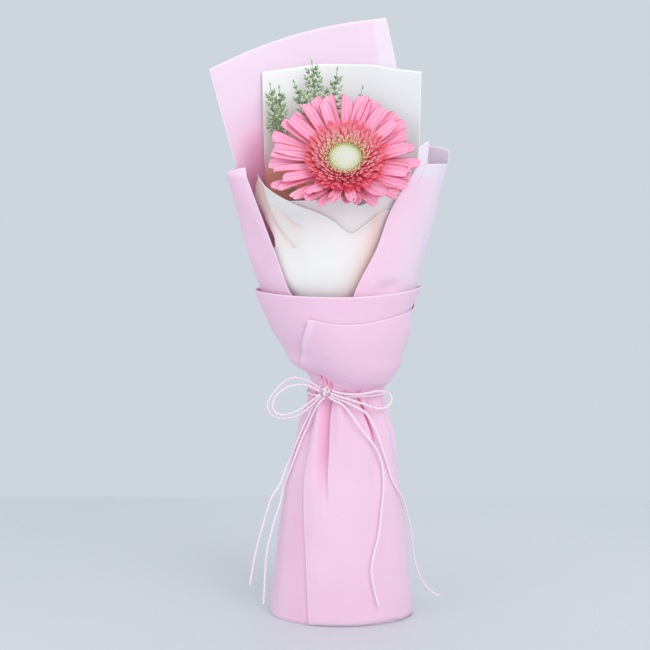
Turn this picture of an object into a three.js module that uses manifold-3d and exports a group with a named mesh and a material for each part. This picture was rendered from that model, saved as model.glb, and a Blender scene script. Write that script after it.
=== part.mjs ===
// One gerbera with fern sprigs in a hand-tied paper wrap, standing on the wrap's flared foot.
// Millimetres, +Z up, the front of the bouquet towards -Y, the waist of the wrap near the Z axis.

import * as THREE from "three";
import { mergeVertices } from "three/addons/utils/BufferGeometryUtils.js";
import Module from "manifold-3d";

const wasm = await Module();
wasm.setup();

// Driving dimensions.
const PAPER = 0.8; // thickness of every paper sheet
const SEAT_GAP = 0.35; // clearance between pieces that touch on the real bouquet
const LAYER_STEP = PAPER + SEAT_GAP;
const WRAP_TURN_STEP = 1.3; // how much the outer wrap grows in one turn
const TIE_HEIGHT = 168; // where the twine gathers the papers
const WAIST_CENTRE_X = 4.8;
const WAIST_HALF_WIDTH = 27;
const WAIST_HALF_DEPTH = 17.5;
const FOOT_HALF_WIDTH = 54;
const FOOT_HALF_DEPTH = 37;
const COLLAR_TOP = 245;
const INNER_PAPER_BOTTOM = 148; // the inner papers end a little below the tie
const STEM_RADIUS = 3.2;
const SPRIG_STEM_RADIUS = 1.1;
const STEM_FOOT_HEIGHT = 30;
const BLOOM_CENTRE = new THREE.Vector3(3.4, -18, 339);
const BLOOM_ELEVATION = 39; // degrees that the flower's face looks up
const BLOOM_RADIUS = 54;
const FLORET_RING_RADIUS = 30;
const DISC_RADIUS = 11.4;
const TWINE_DIAMETER = 1.6;

const DEGREE = Math.PI / 180;

// Colours, roughness and metalness of the real surfaces.
const pinkPaper = { color: 0xecc6e0, roughness: 0.75, metalness: 0 };
const whitePaper = { color: 0xebeceb, roughness: 0.8, metalness: 0 };
const petalPink = { color: 0xff9abb, roughness: 0.55, metalness: 0 };
const floretCoral = { color: 0xeb5a78, roughness: 0.6, metalness: 0 };
const discGreen = { color: 0xdfe8a8, roughness: 0.6, metalness: 0 };
const stemGreen = { color: 0x7fae62, roughness: 0.5, metalness: 0 };
const sprigGreen = { color: 0x6fa06a, roughness: 0.6, metalness: 0 };
const twineWhite = { color: 0xf8e9f2, roughness: 0.7, metalness: 0 };

const bouquet = new THREE.Group();

// ---------------------------------------------------------------- small helpers

function mix(from, to, share) {
  return from + (to - from) * share;
}

function ease(value, start, end) {
  const t = THREE.MathUtils.clamp((value - start) / (end - start), 0, 1);
  return t * t * (3 - 2 * t);
}

// A smooth curve through the stations that never swings past them.
function along(stations, at, key) {
  const last = stations.length - 1;
  if (at <= stations[0].at) {
    return stations[0][key];
  }
  if (at >= stations[last].at) {
    return stations[last][key];
  }
  const slope = (i) => (stations[i + 1][key] - stations[i][key]) / (stations[i + 1].at - stations[i].at);
  const tangent = (i) => {
    if (i === 0 || i === last) {
      return slope(Math.min(i, last - 1));
    }
    const product = slope(i - 1) * slope(i);
    return product <= 0 ? 0 : (2 * product) / (slope(i - 1) + slope(i));
  };
  const i = stations.findIndex((station) => station.at > at) - 1;
  const span = stations[i + 1].at - stations[i].at;
  const t = (at - stations[i].at) / span;
  const rise = stations[i + 1][key] - stations[i][key];
  const bend = tangent(i) * span * t * (1 - t) ** 2 - tangent(i + 1) * span * t * t * (1 - t);
  return stations[i][key] + rise * t * t * (3 - 2 * t) + bend;
}

// The same draws on every run.
function randomFrom(seed) {
  let state = seed;
  return () => {
    state = (state * 1664525 + 1013904223) % 4294967296;
    return state / 4294967296;
  };
}

function addMesh(name, geometry, look) {
  const mesh = new THREE.Mesh(geometry, new THREE.MeshStandardMaterial(look));
  mesh.name = name;
  bouquet.add(mesh);
  return mesh;
}

function solidFrom(geometry) {
  const bare = geometry.clone();
  bare.deleteAttribute("normal");
  bare.deleteAttribute("uv");
  const merged = mergeVertices(bare, 1e-4);
  const mesh = new wasm.Mesh({
    numProp: 3,
    vertProperties: new Float32Array(merged.attributes.position.array),
    triVerts: new Uint32Array(merged.index.array),
  });
  return new wasm.Manifold(mesh);
}

function geometryFrom(solid) {
  const mesh = solid.getMesh();
  const geometry = new THREE.BufferGeometry();
  geometry.setAttribute("position", new THREE.BufferAttribute(new Float32Array(mesh.vertProperties), 3));
  geometry.setIndex(Array.from(mesh.triVerts));
  geometry.computeVertexNormals();
  return geometry;
}

function join(geometries) {
  return geometryFrom(wasm.Manifold.union(geometries.map(solidFrom)));
}

// A closed solid through rings of points, with a flat fan over each end.
function skin(rings) {
  const count = rings[0].length;
  const points = rings.flat();
  const index = [];
  for (let ring = 0; ring < rings.length - 1; ring += 1) {
    for (let i = 0; i < count; i += 1) {
      const a = ring * count + i;
      const b = ring * count + ((i + 1) % count);
      index.push(a, b, b + count, a, b + count, a + count);
    }
  }
  const end = (rings.length - 1) * count;
  for (let i = 1; i < count - 1; i += 1) {
    index.push(0, i + 1, i, end, end + i, end + i + 1);
  }
  const geometry = new THREE.BufferGeometry().setFromPoints(points);
  geometry.setIndex(index);
  return geometry;
}

// A sheet of paper: a surface sampled on a grid, thickened evenly to both sides. Its rows are
// heights, so sheets that share them nest cleanly.
function paperSheet(surface, columns, rows) {
  const small = 1e-3;
  const faces = [[], []];
  for (const row of rows) {
    for (let column = 0; column <= columns; column += 1) {
      const u = column / columns;
      const here = surface(u, row);
      const across = surface(u + small, row).sub(surface(u - small, row));
      const upwards = surface(u, row + small).sub(surface(u, row - small));
      const normal = across.cross(upwards);
      if (row === 0) {
        normal.setZ(0); // the rim that the wrap stands on is cut flat
      }
      normal.setLength(PAPER / 2);
      faces[0].push(here.clone().sub(normal));
      faces[1].push(here.clone().add(normal));
    }
  }
  const width = columns + 1;
  const half = faces[0].length;
  const index = [];
  for (let row = 0; row < rows.length - 1; row += 1) {
    for (let column = 0; column < columns; column += 1) {
      const a = row * width + column;
      const b = a + 1;
      const c = b + width;
      const d = a + width;
      index.push(a, c, b, a, d, c);
      index.push(half + a, half + b, half + c, half + a, half + c, half + d);
    }
  }
  const top = (rows.length - 1) * width;
  for (let column = 0; column < columns; column += 1) {
    const a = column;
    const b = top + column;
    index.push(a, a + 1, half + a + 1, a, half + a + 1, half + a);
    index.push(b, half + b + 1, b + 1, b, half + b, half + b + 1);
  }
  for (let row = 0; row < rows.length - 1; row += 1) {
    const a = row * width;
    const b = a + columns;
    index.push(a, half + a + width, a + width, a, half + a, half + a + width);
    index.push(b, b + width, half + b + width, b, half + b + width, half + b);
  }
  const geometry = new THREE.BufferGeometry().setFromPoints([...faces[0], ...faces[1]]);
  geometry.setIndex(index);
  return facingOut(geometry);
}

// Rows above the base height stretch to meet the sheet's own top edge.
function reachRim(height, base, top, rim) {
  return height <= base ? height : base + ((height - base) * (rim - base)) / (top - base);
}

function facingOut(geometry) {
  const position = geometry.attributes.position;
  const corner = [0, 1, 2].map(() => new THREE.Vector3());
  const list = geometry.index.array;
  let volume = 0;
  for (let i = 0; i < list.length; i += 3) {
    corner.forEach((point, k) => point.fromBufferAttribute(position, list[i + k]));
    volume += corner[0].dot(corner[1].cross(corner[2]));
  }
  if (volume < 0) {
    for (let i = 0; i < list.length; i += 3) {
      [list[i], list[i + 1]] = [list[i + 1], list[i]];
    }
  }
  geometry.computeVertexNormals();
  return geometry;
}

// ---------------------------------------------------------------- the cross-sections of the wrap

// The outer wrap: foot, skirt, waist and the collar that bulges over the tie.
const wrapSections = [
  { at: 0, cx: 1, cy: 0, a: FOOT_HALF_WIDTH, b: FOOT_HALF_DEPTH },
  { at: 54, cx: 2, cy: 0, a: 49, b: 33 },
  { at: 101, cx: 2.5, cy: 0, a: 43, b: 29 },
  { at: 139, cx: 5.5, cy: 0, a: 35, b: 23.5 },
  { at: 160, cx: WAIST_CENTRE_X, cy: 0, a: 28.6, b: 18.8 },
  { at: TIE_HEIGHT, cx: WAIST_CENTRE_X, cy: 0, a: WAIST_HALF_WIDTH, b: WAIST_HALF_DEPTH },
  { at: 173, cx: 5.5, cy: 0, a: 29, b: 22 },
  { at: 178, cx: 7, cy: -0.5, a: 33.5, b: 28 },
  { at: 187, cx: 7.5, cy: -1, a: 38.5, b: 33 },
  { at: 197, cx: 4.5, cy: -1.5, a: 42.5, b: 36 },
  { at: 213, cx: 2, cy: -2, a: 49.5, b: 39 },
  { at: 231, cx: -1, cy: -2, a: 55.5, b: 41.5 },
  { at: 247, cx: 0, cy: -2, a: 61.5, b: 43.5 },
];

// The side wrap and all that nests in it, continued upwards past its own top.
const bagSections = [
  { at: TIE_HEIGHT, cx: WAIST_CENTRE_X, cy: 0, a: 23.6, b: 14.1, ringShare: 1, crease: 1 },
  { at: 178, cx: WAIST_CENTRE_X, cy: 0, a: 24, b: 14.7, ringShare: 0.93, crease: 1 },
  { at: 190, cx: 4, cy: -0.5, a: 29.5, b: 20, ringShare: 0.75, crease: 1 },
  { at: 212, cx: 2.5, cy: -1.5, a: 42, b: 29, ringShare: 0.3, crease: 1.1 },
  { at: 235, cx: 0, cy: -3, a: 53.5, b: 36, ringShare: 0, crease: 1.25 },
  { at: 250, cx: -1, cy: -3, a: 58, b: 37, ringShare: 0, crease: 1.35 },
  { at: 290, cx: -1.5, cy: 2, a: 69, b: 34, ringShare: 0, crease: 1.4 },
  { at: 332, cx: -2, cy: 8, a: 80.5, b: 31, ringShare: 0, crease: 1.4 },
  { at: 400, cx: -3, cy: 18, a: 98, b: 29, ringShare: 0, crease: 1.4 },
  { at: 440, cx: -3, cy: 24, a: 108, b: 28, ringShare: 0, crease: 1.4 },
];

// Inside the tie the papers crowd round the stems in one small ring.
const STEM_RING_HALF_WIDTH = STEM_RADIUS + 2 * SPRIG_STEM_RADIUS + 2.5 * SEAT_GAP;
const STEM_RING_HALF_DEPTH = STEM_RADIUS + SEAT_GAP;

function sectionAt(sections, z) {
  return {
    cx: along(sections, z, "cx"),
    cy: along(sections, z, "cy"),
    a: along(sections, z, "a"),
    b: along(sections, z, "b"),
  };
}

// Layer 0 lies against the stems. The side wrap is the outermost, layer 3.
const SIDE_WRAP_LAYER = 3;
const OPEN_LAYER_STEP = 2.2; // the sheets lie looser in the mouth

function nestedSection(layer, z) {
  const bag = sectionAt(bagSections, z);
  const ringShare = along(bagSections, z, "ringShare");
  const ringGrowth = PAPER / 2 + layer * LAYER_STEP;
  const inset = (SIDE_WRAP_LAYER - layer) * OPEN_LAYER_STEP;
  return {
    cx: bag.cx,
    cy: bag.cy,
    a: mix(bag.a - inset, STEM_RING_HALF_WIDTH + ringGrowth, ringShare),
    b: mix(bag.b - inset, STEM_RING_HALF_DEPTH + ringGrowth, ringShare),
    crease: along(bagSections, z, "crease"),
  };
}

function onSection(section, angle, z) {
  const sine = Math.sin(angle);
  const depth = Math.sign(sine) * Math.abs(sine) ** (section.crease ?? 1);
  return new THREE.Vector3(section.cx + section.a * Math.cos(angle), section.cy + section.b * depth, z);
}

// ---------------------------------------------------------------- pink outer wrap

// Angles go round the wrap from +X through the back. The sheet starts inside at the right,
// runs over the front, the left and the back, and ends over its own front.
const WRAP_START = 380;
const flapEdge = [
  { at: 0, angle: -116 },
  { at: 100, angle: -133 },
  { at: TIE_HEIGHT, angle: -138 },
  { at: 195, angle: -140 },
  { at: 226, angle: -116 },
];
const wrapRim = [
  { at: -116, z: 228 },
  { at: -85, z: 224 },
  { at: -40, z: 228 },
  { at: 0, z: 232 },
  { at: 50, z: 240 },
  { at: 90, z: 243 },
  { at: 180, z: 244 },
  { at: 270, z: 244 },
  { at: 360, z: COLLAR_TOP + 1.5 },
  { at: 380, z: COLLAR_TOP },
];
const COLLAR_BASE = 187;
const WRAP_COLUMNS = 50;
const skirtPleats = { count: 11, depth: 1.5, fadeLow: 95, fadeHigh: 150, flatFrom: 160 };
const leftLift = { height: 13, centre: 215, spread: 45, full: 178, fadeLow: 186, fadeHigh: 235 };
const leftBulge = { depth: 9, centre: 188, spread: 38, height: 196, reach: 9 };

function outerWrapSurface(u, height) {
  const rimAngle = mix(WRAP_START, flapEdge[0].angle, u);
  const z = reachRim(height, COLLAR_BASE, COLLAR_TOP, along(wrapRim, rimAngle, "z"));
  const angle = mix(WRAP_START, along(flapEdge, z, "angle"), u);
  const turned = ((angle % 360) + 360) % 360;
  const nearLeft = Math.exp(-(((turned - leftLift.centre) / leftLift.spread) ** 2));
  const liftFade = ease(z, TIE_HEIGHT, leftLift.full) * (1 - ease(z, leftLift.fadeLow, leftLift.fadeHigh));
  const lift = leftLift.height * nearLeft * liftFade;
  const section = sectionAt(wrapSections, z - lift);
  const growth = (-WRAP_TURN_STEP * (angle - flapEdge[0].angle)) / 360;
  const pleatFade = ease(z, skirtPleats.fadeLow, skirtPleats.fadeHigh);
  const gathered = 1 - ease(z, skirtPleats.flatFrom, TIE_HEIGHT);
  const pleat = skirtPleats.depth * pleatFade * gathered * Math.cos(skirtPleats.count * angle * DEGREE);
  const aside = ((turned - leftBulge.centre) / leftBulge.spread) ** 2;
  const above = ((z - leftBulge.height) / leftBulge.reach) ** 2;
  const bulge = leftBulge.depth * Math.exp(-aside - above);
  section.a += growth + pleat + bulge;
  section.b += growth + pleat + bulge;
  return onSection(section, angle * DEGREE, z);
}

const wrapRows = [0, 50, 95, 125, 145, 158, TIE_HEIGHT, 173, 179, COLLAR_BASE, 196, 208, 224, COLLAR_TOP];
addMesh("pink_outer_wrap", paperSheet(outerWrapSurface, WRAP_COLUMNS, wrapRows), pinkPaper);

// All the inner papers share these rows where they are gathered, up to the mouth.
const MOUTH_BASE = 238;
const gatheredRows = [INNER_PAPER_BOTTOM, TIE_HEIGHT, 178, 190, 204, 220, MOUTH_BASE];

// ---------------------------------------------------------------- pink side wrap

// Its two front edges, as angles: the left panel's and the right panel's.
const sideEdges = [
  { at: INNER_PAPER_BOTTOM, left: 264, right: -84 },
  { at: 235, left: 240, right: -82 },
  { at: 246, left: 232, right: -79 },
  { at: 276, left: 225, right: -66 },
  { at: 300, left: 220, right: -60 },
  { at: 333, left: 212, right: -46 },
];
const sideRim = [
  { at: 0, z: 346 },
  { at: 0.13, z: 337 },
  { at: 0.3, z: 341 },
  { at: 0.5, z: 336 },
  { at: 0.8, z: 330 },
  { at: 1, z: 332 },
];
const SIDE_WRAP_TOP = 335;
const SIDE_PLEATS = 9;

function sideWrapSurface(u, height) {
  const z = reachRim(height, MOUTH_BASE, SIDE_WRAP_TOP, along(sideRim, u, "z"));
  const angle = mix(along(sideEdges, z, "right"), along(sideEdges, z, "left"), u) * DEGREE;
  const inner = nestedSection(SIDE_WRAP_LAYER, z);
  const outer = sectionAt(bagSections, z);
  const outward = 0.5 - 0.5 * Math.cos(2 * Math.PI * SIDE_PLEATS * u);
  inner.a = mix(inner.a, outer.a, outward);
  inner.b = mix(inner.b, outer.b, outward);
  return onSection(inner, angle, z);
}

const sideWrapRows = [...gatheredRows, 265, 300, SIDE_WRAP_TOP];
addMesh("pink_side_wrap", paperSheet(sideWrapSurface, SIDE_PLEATS * 4, sideWrapRows), pinkPaper);

// ---------------------------------------------------------------- back sheets

const BACK_COLUMNS = 12;
const BACK_REACH = 0.97; // how far round its section a back sheet may reach
const backSpread = { gathered: 215, open: 262 };

// A back sheet follows the back of its nested section between two side lines.
function backSheetSurface(layer, sides, rim, top) {
  return (u, height) => {
    const z = reachRim(height, MOUTH_BASE, top, along(rim, u, "z"));
    const section = nestedSection(layer, z);
    const lowest = section.cx - section.a * BACK_REACH;
    const highest = section.cx + section.a * BACK_REACH;
    const gathered = 1 - ease(z, backSpread.gathered, backSpread.open);
    const left = Math.max(mix(along(sides, z, "left"), lowest, gathered), lowest);
    const right = Math.min(mix(along(sides, z, "right"), highest, gathered), highest);
    const share = (mix(right, left, u) - section.cx) / section.a;
    return onSection(section, Math.acos(THREE.MathUtils.clamp(share, -1, 1)), z);
  };
}

const pinkBackSides = [
  { at: 262, left: -56, right: 50 },
  { at: 330, left: -75, right: 50 },
  { at: 402, left: -95, right: 42 },
  { at: 440, left: -104, right: 34 },
];
const pinkBackRim = [
  { at: 0, z: 441 },
  { at: 0.5, z: 425 },
  { at: 1, z: 403 },
];
const whiteBackSides = [
  { at: 262, left: -22, right: 46 },
  { at: 300, left: -30, right: 52 },
  { at: 345, left: -54, right: 58 },
  { at: 405, left: -57, right: 60 },
];
const whiteBackRim = [
  { at: 0, z: 401 },
  { at: 0.2, z: 405 },
  { at: 0.8, z: 408 },
  { at: 1, z: 400 },
];

const PINK_BACK_LAYER = 2;
const WHITE_BACK_LAYER = 0.6;
const PINK_BACK_TOP = 425;
const WHITE_BACK_TOP = 405;
const pinkBackRows = [...gatheredRows, 265, 305, 350, 390, PINK_BACK_TOP];
const whiteBackRows = [...gatheredRows, 265, 305, 350, WHITE_BACK_TOP];
const pinkBackSurface = backSheetSurface(PINK_BACK_LAYER, pinkBackSides, pinkBackRim, PINK_BACK_TOP);
const whiteBackSurface = backSheetSurface(WHITE_BACK_LAYER, whiteBackSides, whiteBackRim, WHITE_BACK_TOP);
addMesh("pink_back_sheet", paperSheet(pinkBackSurface, BACK_COLUMNS, pinkBackRows), pinkPaper);
addMesh("white_back_sheet", paperSheet(whiteBackSurface, BACK_COLUMNS, whiteBackRows), whitePaper);

// ---------------------------------------------------------------- white front sheets

// The white sheets round the flower's neck run from a left edge over the front to the right.
const whiteSections = [
  { at: TIE_HEIGHT, cx: WAIST_CENTRE_X, cy: 0, a: 14, b: 9, ringShare: 1 },
  { at: 190, cx: 4, cy: -0.5, a: 18, b: 12, ringShare: 0.8 },
  { at: 212, cx: 2, cy: -1.5, a: 28, b: 19, ringShare: 0.3 },
  { at: 235, cx: -4, cy: -3, a: 39, b: 28, ringShare: 0 },
  { at: 250, cx: -5, cy: -3, a: 43.5, b: 31.5, ringShare: 0 },
  { at: 276, cx: -5, cy: -1, a: 49, b: 31.5, ringShare: 0 },
  { at: 300, cx: -4, cy: 1, a: 54, b: 31, ringShare: 0 },
  { at: 330, cx: -2, cy: 3, a: 59, b: 31, ringShare: 0 },
];

const OUTER_WHITE_LAYER = 2; // the layer whose section the table gives
const FRONT_COLUMNS = 14;

function whiteSection(layer, z) {
  const section = sectionAt(whiteSections, z);
  const ringShare = along(whiteSections, z, "ringShare");
  const ringGrowth = PAPER / 2 + layer * LAYER_STEP;
  const inset = (OUTER_WHITE_LAYER - layer) * OPEN_LAYER_STEP;
  section.a = mix(section.a - inset, STEM_RING_HALF_WIDTH + ringGrowth, ringShare);
  section.b = mix(section.b - inset, STEM_RING_HALF_DEPTH + ringGrowth, ringShare);
  return section;
}

// The inner sheet stands behind the front one and ends in a small point under the bloom.
const innerEdges = [
  { at: 148, left: 180, right: 356 },
  { at: 262, left: 244, right: 356 },
  { at: 276, left: 242, right: 356 },
  { at: 290, left: 220, right: 358 },
  { at: 300, left: 204, right: 360 },
  { at: 316, left: 198, right: 360 },
];
const innerRim = [
  { at: 0, z: 309 },
  { at: 0.23, z: 310 },
  { at: 0.43, z: 312.6 },
  { at: 0.48, z: 314.3 },
  { at: 0.55, z: 304.5 },
  { at: 0.67, z: 314.5 },
  { at: 1, z: 326 },
];
const INNER_BASE = 262;
const INNER_TOP = 315;

// The front sheet has a high left point, a notch in its left edge and a dip in its rim.
const frontEdges = [
  { at: 148, left: 190, right: 350 },
  { at: 235, left: 224, right: 346 },
  { at: 246, left: 218, right: 345 },
  { at: 263, left: 202, right: 343 },
  { at: 275, left: 192, right: 341 },
  { at: 300, left: 184, right: 338 },
  { at: 330, left: 186, right: 336 },
];
const frontNotch = [
  { at: 275, turn: 0 },
  { at: 276.4, turn: 42 },
  { at: 280, turn: 39 },
  { at: 285.5, turn: 28 },
  { at: 290, turn: 20.5 },
  { at: 297, turn: 7 },
  { at: 303, turn: 0 },
];
const NOTCH_REACH = 0.35; // the share of the sheet's width that the notch shifts
const frontRim = [
  { at: 0, z: 327 },
  { at: 0.12, z: 321 },
  { at: 0.25, z: 313.7 },
  { at: 0.36, z: 307.5 },
  { at: 0.46, z: 302.5 },
  { at: 0.51, z: 297.5 },
  { at: 0.59, z: 287.5 },
  { at: 0.67, z: 292.5 },
  { at: 0.74, z: 298.5 },
  { at: 0.79, z: 302 },
  { at: 1, z: 306 },
];
const FRONT_BASE = 278;
const FRONT_TOP = 300;

function innerWhiteSurface(u, height) {
  const z = reachRim(height, INNER_BASE, INNER_TOP, along(innerRim, u, "z"));
  const angle = mix(along(innerEdges, z, "left"), along(innerEdges, z, "right"), u);
  return onSection(whiteSection(0, z), angle * DEGREE, z);
}

function frontWhiteSurface(u, height) {
  const z = reachRim(height, FRONT_BASE, FRONT_TOP, along(frontRim, u, "z"));
  const cut = along(frontNotch, z, "turn") * Math.max(0, 1 - u / NOTCH_REACH);
  const angle = mix(along(frontEdges, z, "left"), along(frontEdges, z, "right"), u) + cut;
  return onSection(whiteSection(1, z), angle * DEGREE, z);
}

const innerRows = [...gatheredRows, INNER_BASE, 288, INNER_TOP];
const frontRows = [...gatheredRows, 248, 263, 275, 276.4, 283, 292, FRONT_TOP];
addMesh("white_inner_wrap", paperSheet(innerWhiteSurface, FRONT_COLUMNS, innerRows), whitePaper);
addMesh("white_front_wrap", paperSheet(frontWhiteSurface, FRONT_COLUMNS, frontRows), whitePaper);

// ---------------------------------------------------------------- stem with its green bud cup

// The flower's own frame: local Z is the way the face looks, local Y runs up the face.
const tilt = BLOOM_ELEVATION * DEGREE;
const bloomFrame = new THREE.Matrix4().makeBasis(
  new THREE.Vector3(1, 0, 0),
  new THREE.Vector3(0, Math.sin(tilt), Math.cos(tilt)),
  new THREE.Vector3(0, -Math.cos(tilt), Math.sin(tilt)),
);
bloomFrame.setPosition(BLOOM_CENTRE);

function tube(points, radius, sides, steps) {
  const path = new THREE.CatmullRomCurve3(points.map((point) => new THREE.Vector3(...point)));
  const section = new THREE.Shape();
  for (let side = 0; side < sides; side += 1) {
    const angle = (2 * Math.PI * side) / sides;
    const draw = side === 0 ? "moveTo" : "lineTo";
    section[draw](radius * Math.cos(angle), radius * Math.sin(angle));
  }
  return tidied(new THREE.ExtrudeGeometry(section, { steps, extrudePath: path }));
}

function tidied(geometry) {
  geometry.deleteAttribute("normal");
  geometry.deleteAttribute("uv");
  return facingOut(mergeVertices(geometry, 1e-4));
}

function turned(outline, sides) {
  const points = outline.map(([radius, height]) => new THREE.Vector2(radius, height));
  const geometry = tidied(new THREE.LatheGeometry(points, sides));
  return geometry.rotateX(Math.PI / 2);
}

const stemPath = [
  [4.8, 0, STEM_FOOT_HEIGHT],
  [4.8, 0, 100],
  [4.8, 0, 150],
  [4.8, 0, 185],
  [4.6, 1, 215],
  [4.2, 3.5, 260],
  [3.8, 5.8, 297],
  [3.6, 4.6, 314],
  [3.4, 0.6, 323.9],
  [3.4, -5.6, 328.9],
];
const CUP_TOP = -4.9;
const bractRing = { count: 12, root: 9, reach: 10, half: 2.6, taper: 0.85 };
const bractHeights = { low: -9.5, high: -5.4, ridge: 0.4, keel: 0.6 };

function bract(turn) {
  const rings = [0, 0.5, 1].map((share) => {
    const half = bractRing.half * (1 - bractRing.taper * share ** 2);
    const out = bractRing.root + bractRing.reach * share;
    const height = mix(bractHeights.low, bractHeights.high, Math.sqrt(share));
    return [
      new THREE.Vector3(out, -half, height),
      new THREE.Vector3(out, 0, height + bractHeights.ridge),
      new THREE.Vector3(out, half, height),
      new THREE.Vector3(out, 0, height - bractHeights.keel),
    ];
  });
  return facingOut(skin(rings)).rotateZ(turn);
}

const CUP_BOTTOM = -21;
const cupOutline = [
  [0, CUP_BOTTOM],
  [STEM_RADIUS, CUP_BOTTOM],
  [5, -16.5],
  [9.5, -12],
  [12.5, -8],
  [13.5, CUP_TOP],
  [0, CUP_TOP],
];
const greenParts = [turned(cupOutline, 16)];
for (let i = 0; i < bractRing.count; i += 1) {
  greenParts.push(bract((2 * Math.PI * i) / bractRing.count));
}
greenParts.forEach((piece) => piece.applyMatrix4(bloomFrame));
addMesh("gerbera_stem", join([tube(stemPath, STEM_RADIUS, 9, 14), ...greenParts]), stemGreen);

// ---------------------------------------------------------------- the flower

const flower = new THREE.Group();
flower.applyMatrix4(bloomFrame);
bouquet.add(flower);

const HEAD_TOP = -0.7; // the petals' seat, above the green cup
const PETAL_ROOT = 11.5;
const petalLayers = [
  { count: 16, turn: 0, height: -3.4, reach: 1.0, seed: 11 },
  { count: 16, turn: 0.5, height: -1.5, reach: 0.96, seed: 23 },
];
const petalShape = [
  { at: 0, half: 1.8 },
  { at: 0.3, half: 3.5 },
  { at: 0.72, half: 5 },
  { at: 0.92, half: 4.5 },
  { at: 1, half: 2.2 },
];
const PETAL_THICKNESS = 0.9;
const PETAL_ROLL = 8; // degrees, so that neighbours lie like shingles
const petalBend = { start: 0.2, end: 0.62 }; // shares of the length where a petal lifts
const petalRise = { all: 4, lower: 35, sharpness: 1.6, upper: 3 };
const petalScatter = { length: 0.05, lift: 2.5, roll: 2, turn: 0.12 };

// The lower petals lift towards the front, the upper ones only a little.
function petalLift(angle) {
  const down = Math.max(0, -Math.sin(angle));
  const up = Math.max(0, Math.sin(angle));
  return petalRise.all + petalRise.lower * down ** petalRise.sharpness + petalRise.upper * up;
}

function scatter(random, amount) {
  return mix(-amount, amount, random());
}

function petal(angle, layer, random) {
  const length = (BLOOM_RADIUS - PETAL_ROOT) * layer.reach * (1 + scatter(random, petalScatter.length));
  const lift = petalLift(angle) + scatter(random, petalScatter.lift);
  const roll = (PETAL_ROLL + scatter(random, petalScatter.roll)) * DEGREE;
  const rings = [];
  let out = PETAL_ROOT;
  let height = layer.height;
  let before = 0;
  for (const { at, half } of petalShape) {
    const heading = lift * ease(0.5 * (at + before), petalBend.start, petalBend.end) * DEGREE;
    out += length * (at - before) * Math.cos(heading);
    height += length * (at - before) * Math.sin(heading);
    before = at;
    const twist = roll * ease(at, 0, petalShape[1].at);
    const side = [half * Math.cos(twist), half * Math.sin(twist)];
    const thick = PETAL_THICKNESS / 2;
    rings.push([
      new THREE.Vector3(out, -side[0], height - side[1]),
      new THREE.Vector3(out, 0, height + thick),
      new THREE.Vector3(out, side[0], height + side[1]),
      new THREE.Vector3(out, 0, height - thick),
    ]);
  }
  return facingOut(skin(rings)).rotateZ(angle);
}

function petals() {
  const made = [];
  for (const layer of petalLayers) {
    const random = randomFrom(layer.seed);
    for (let i = 0; i < layer.count; i += 1) {
      const place = i + layer.turn + scatter(random, petalScatter.turn);
      made.push(petal((2 * Math.PI * place) / layer.count, layer, random));
    }
  }
  return made;
}

const SEAT_SIDES = 26;
const PETAL_SEAT_LOW = CUP_TOP + SEAT_GAP;
const petalSeatOutline = [
  [0, PETAL_SEAT_LOW],
  [14.5, PETAL_SEAT_LOW],
  [15, HEAD_TOP],
  [0, HEAD_TOP],
];
const petalSeat = turned(petalSeatOutline, SEAT_SIDES);
const rayPetals = addMesh("gerbera_ray_petals", join([petalSeat, ...petals()]), petalPink);

// The short florets between the petals and the disc, in rows that rise inwards.
const floretRows = [
  { count: 24, root: 13.8, tip: FLORET_RING_RADIUS, low: 0.5, high: 3.6, half: 1.6 },
  { count: 20, root: 12.8, tip: 25, low: 0.7, high: 5.6, half: 1.4 },
  { count: 16, root: 12, tip: 19.5, low: 0.8, high: 6.6, half: 1.2 },
];
const FLORET_SEAT_LOW = HEAD_TOP + SEAT_GAP;
const FLORET_SEAT_TOP = 1.3;
const floretScatter = { shortest: 0.9, longest: 1.04 };
const floretBladeShape = { knee: 0.6, taper: 0.6, thickness: 0.9, turnPerRow: 0.37 };

function floretBlade(row, angle, random) {
  const tip = mix(row.root, row.tip, mix(floretScatter.shortest, floretScatter.longest, random()));
  const rings = [0, floretBladeShape.knee, 1].map((share) => {
    const out = mix(row.root, tip, share);
    const height = mix(row.low, row.high, share);
    const half = row.half * (1 - floretBladeShape.taper * share * share);
    return [
      new THREE.Vector3(out, -half, height),
      new THREE.Vector3(out, 0, height + floretBladeShape.thickness),
      new THREE.Vector3(out, half, height),
    ];
  });
  return facingOut(skin(rings)).rotateZ(angle);
}

function floretBlades() {
  const random = randomFrom(5);
  const made = [];
  floretRows.forEach((row, order) => {
    for (let i = 0; i < row.count; i += 1) {
      const turn = (2 * Math.PI * (i + floretBladeShape.turnPerRow * order)) / row.count;
      made.push(floretBlade(row, turn, random));
    }
  });
  return made;
}

const floretSeatOutline = [
  [0, FLORET_SEAT_LOW],
  [14.6, FLORET_SEAT_LOW],
  [15.4, FLORET_SEAT_TOP],
  [0, FLORET_SEAT_TOP],
];
const floretSeat = turned(floretSeatOutline, SEAT_SIDES);
const florets = addMesh("gerbera_trans_florets", join([floretSeat, ...floretBlades()]), floretCoral);

// The disc is a low dome whose closed buds stand out as relief.
const discShape = { floor: FLORET_SEAT_TOP + SEAT_GAP, edge: 2.2, rise: 2.6, spread: 1.02 };
const discBuds = { rings: 6, spokes: 22, relief: 0.3, innermost: 1 };

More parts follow.
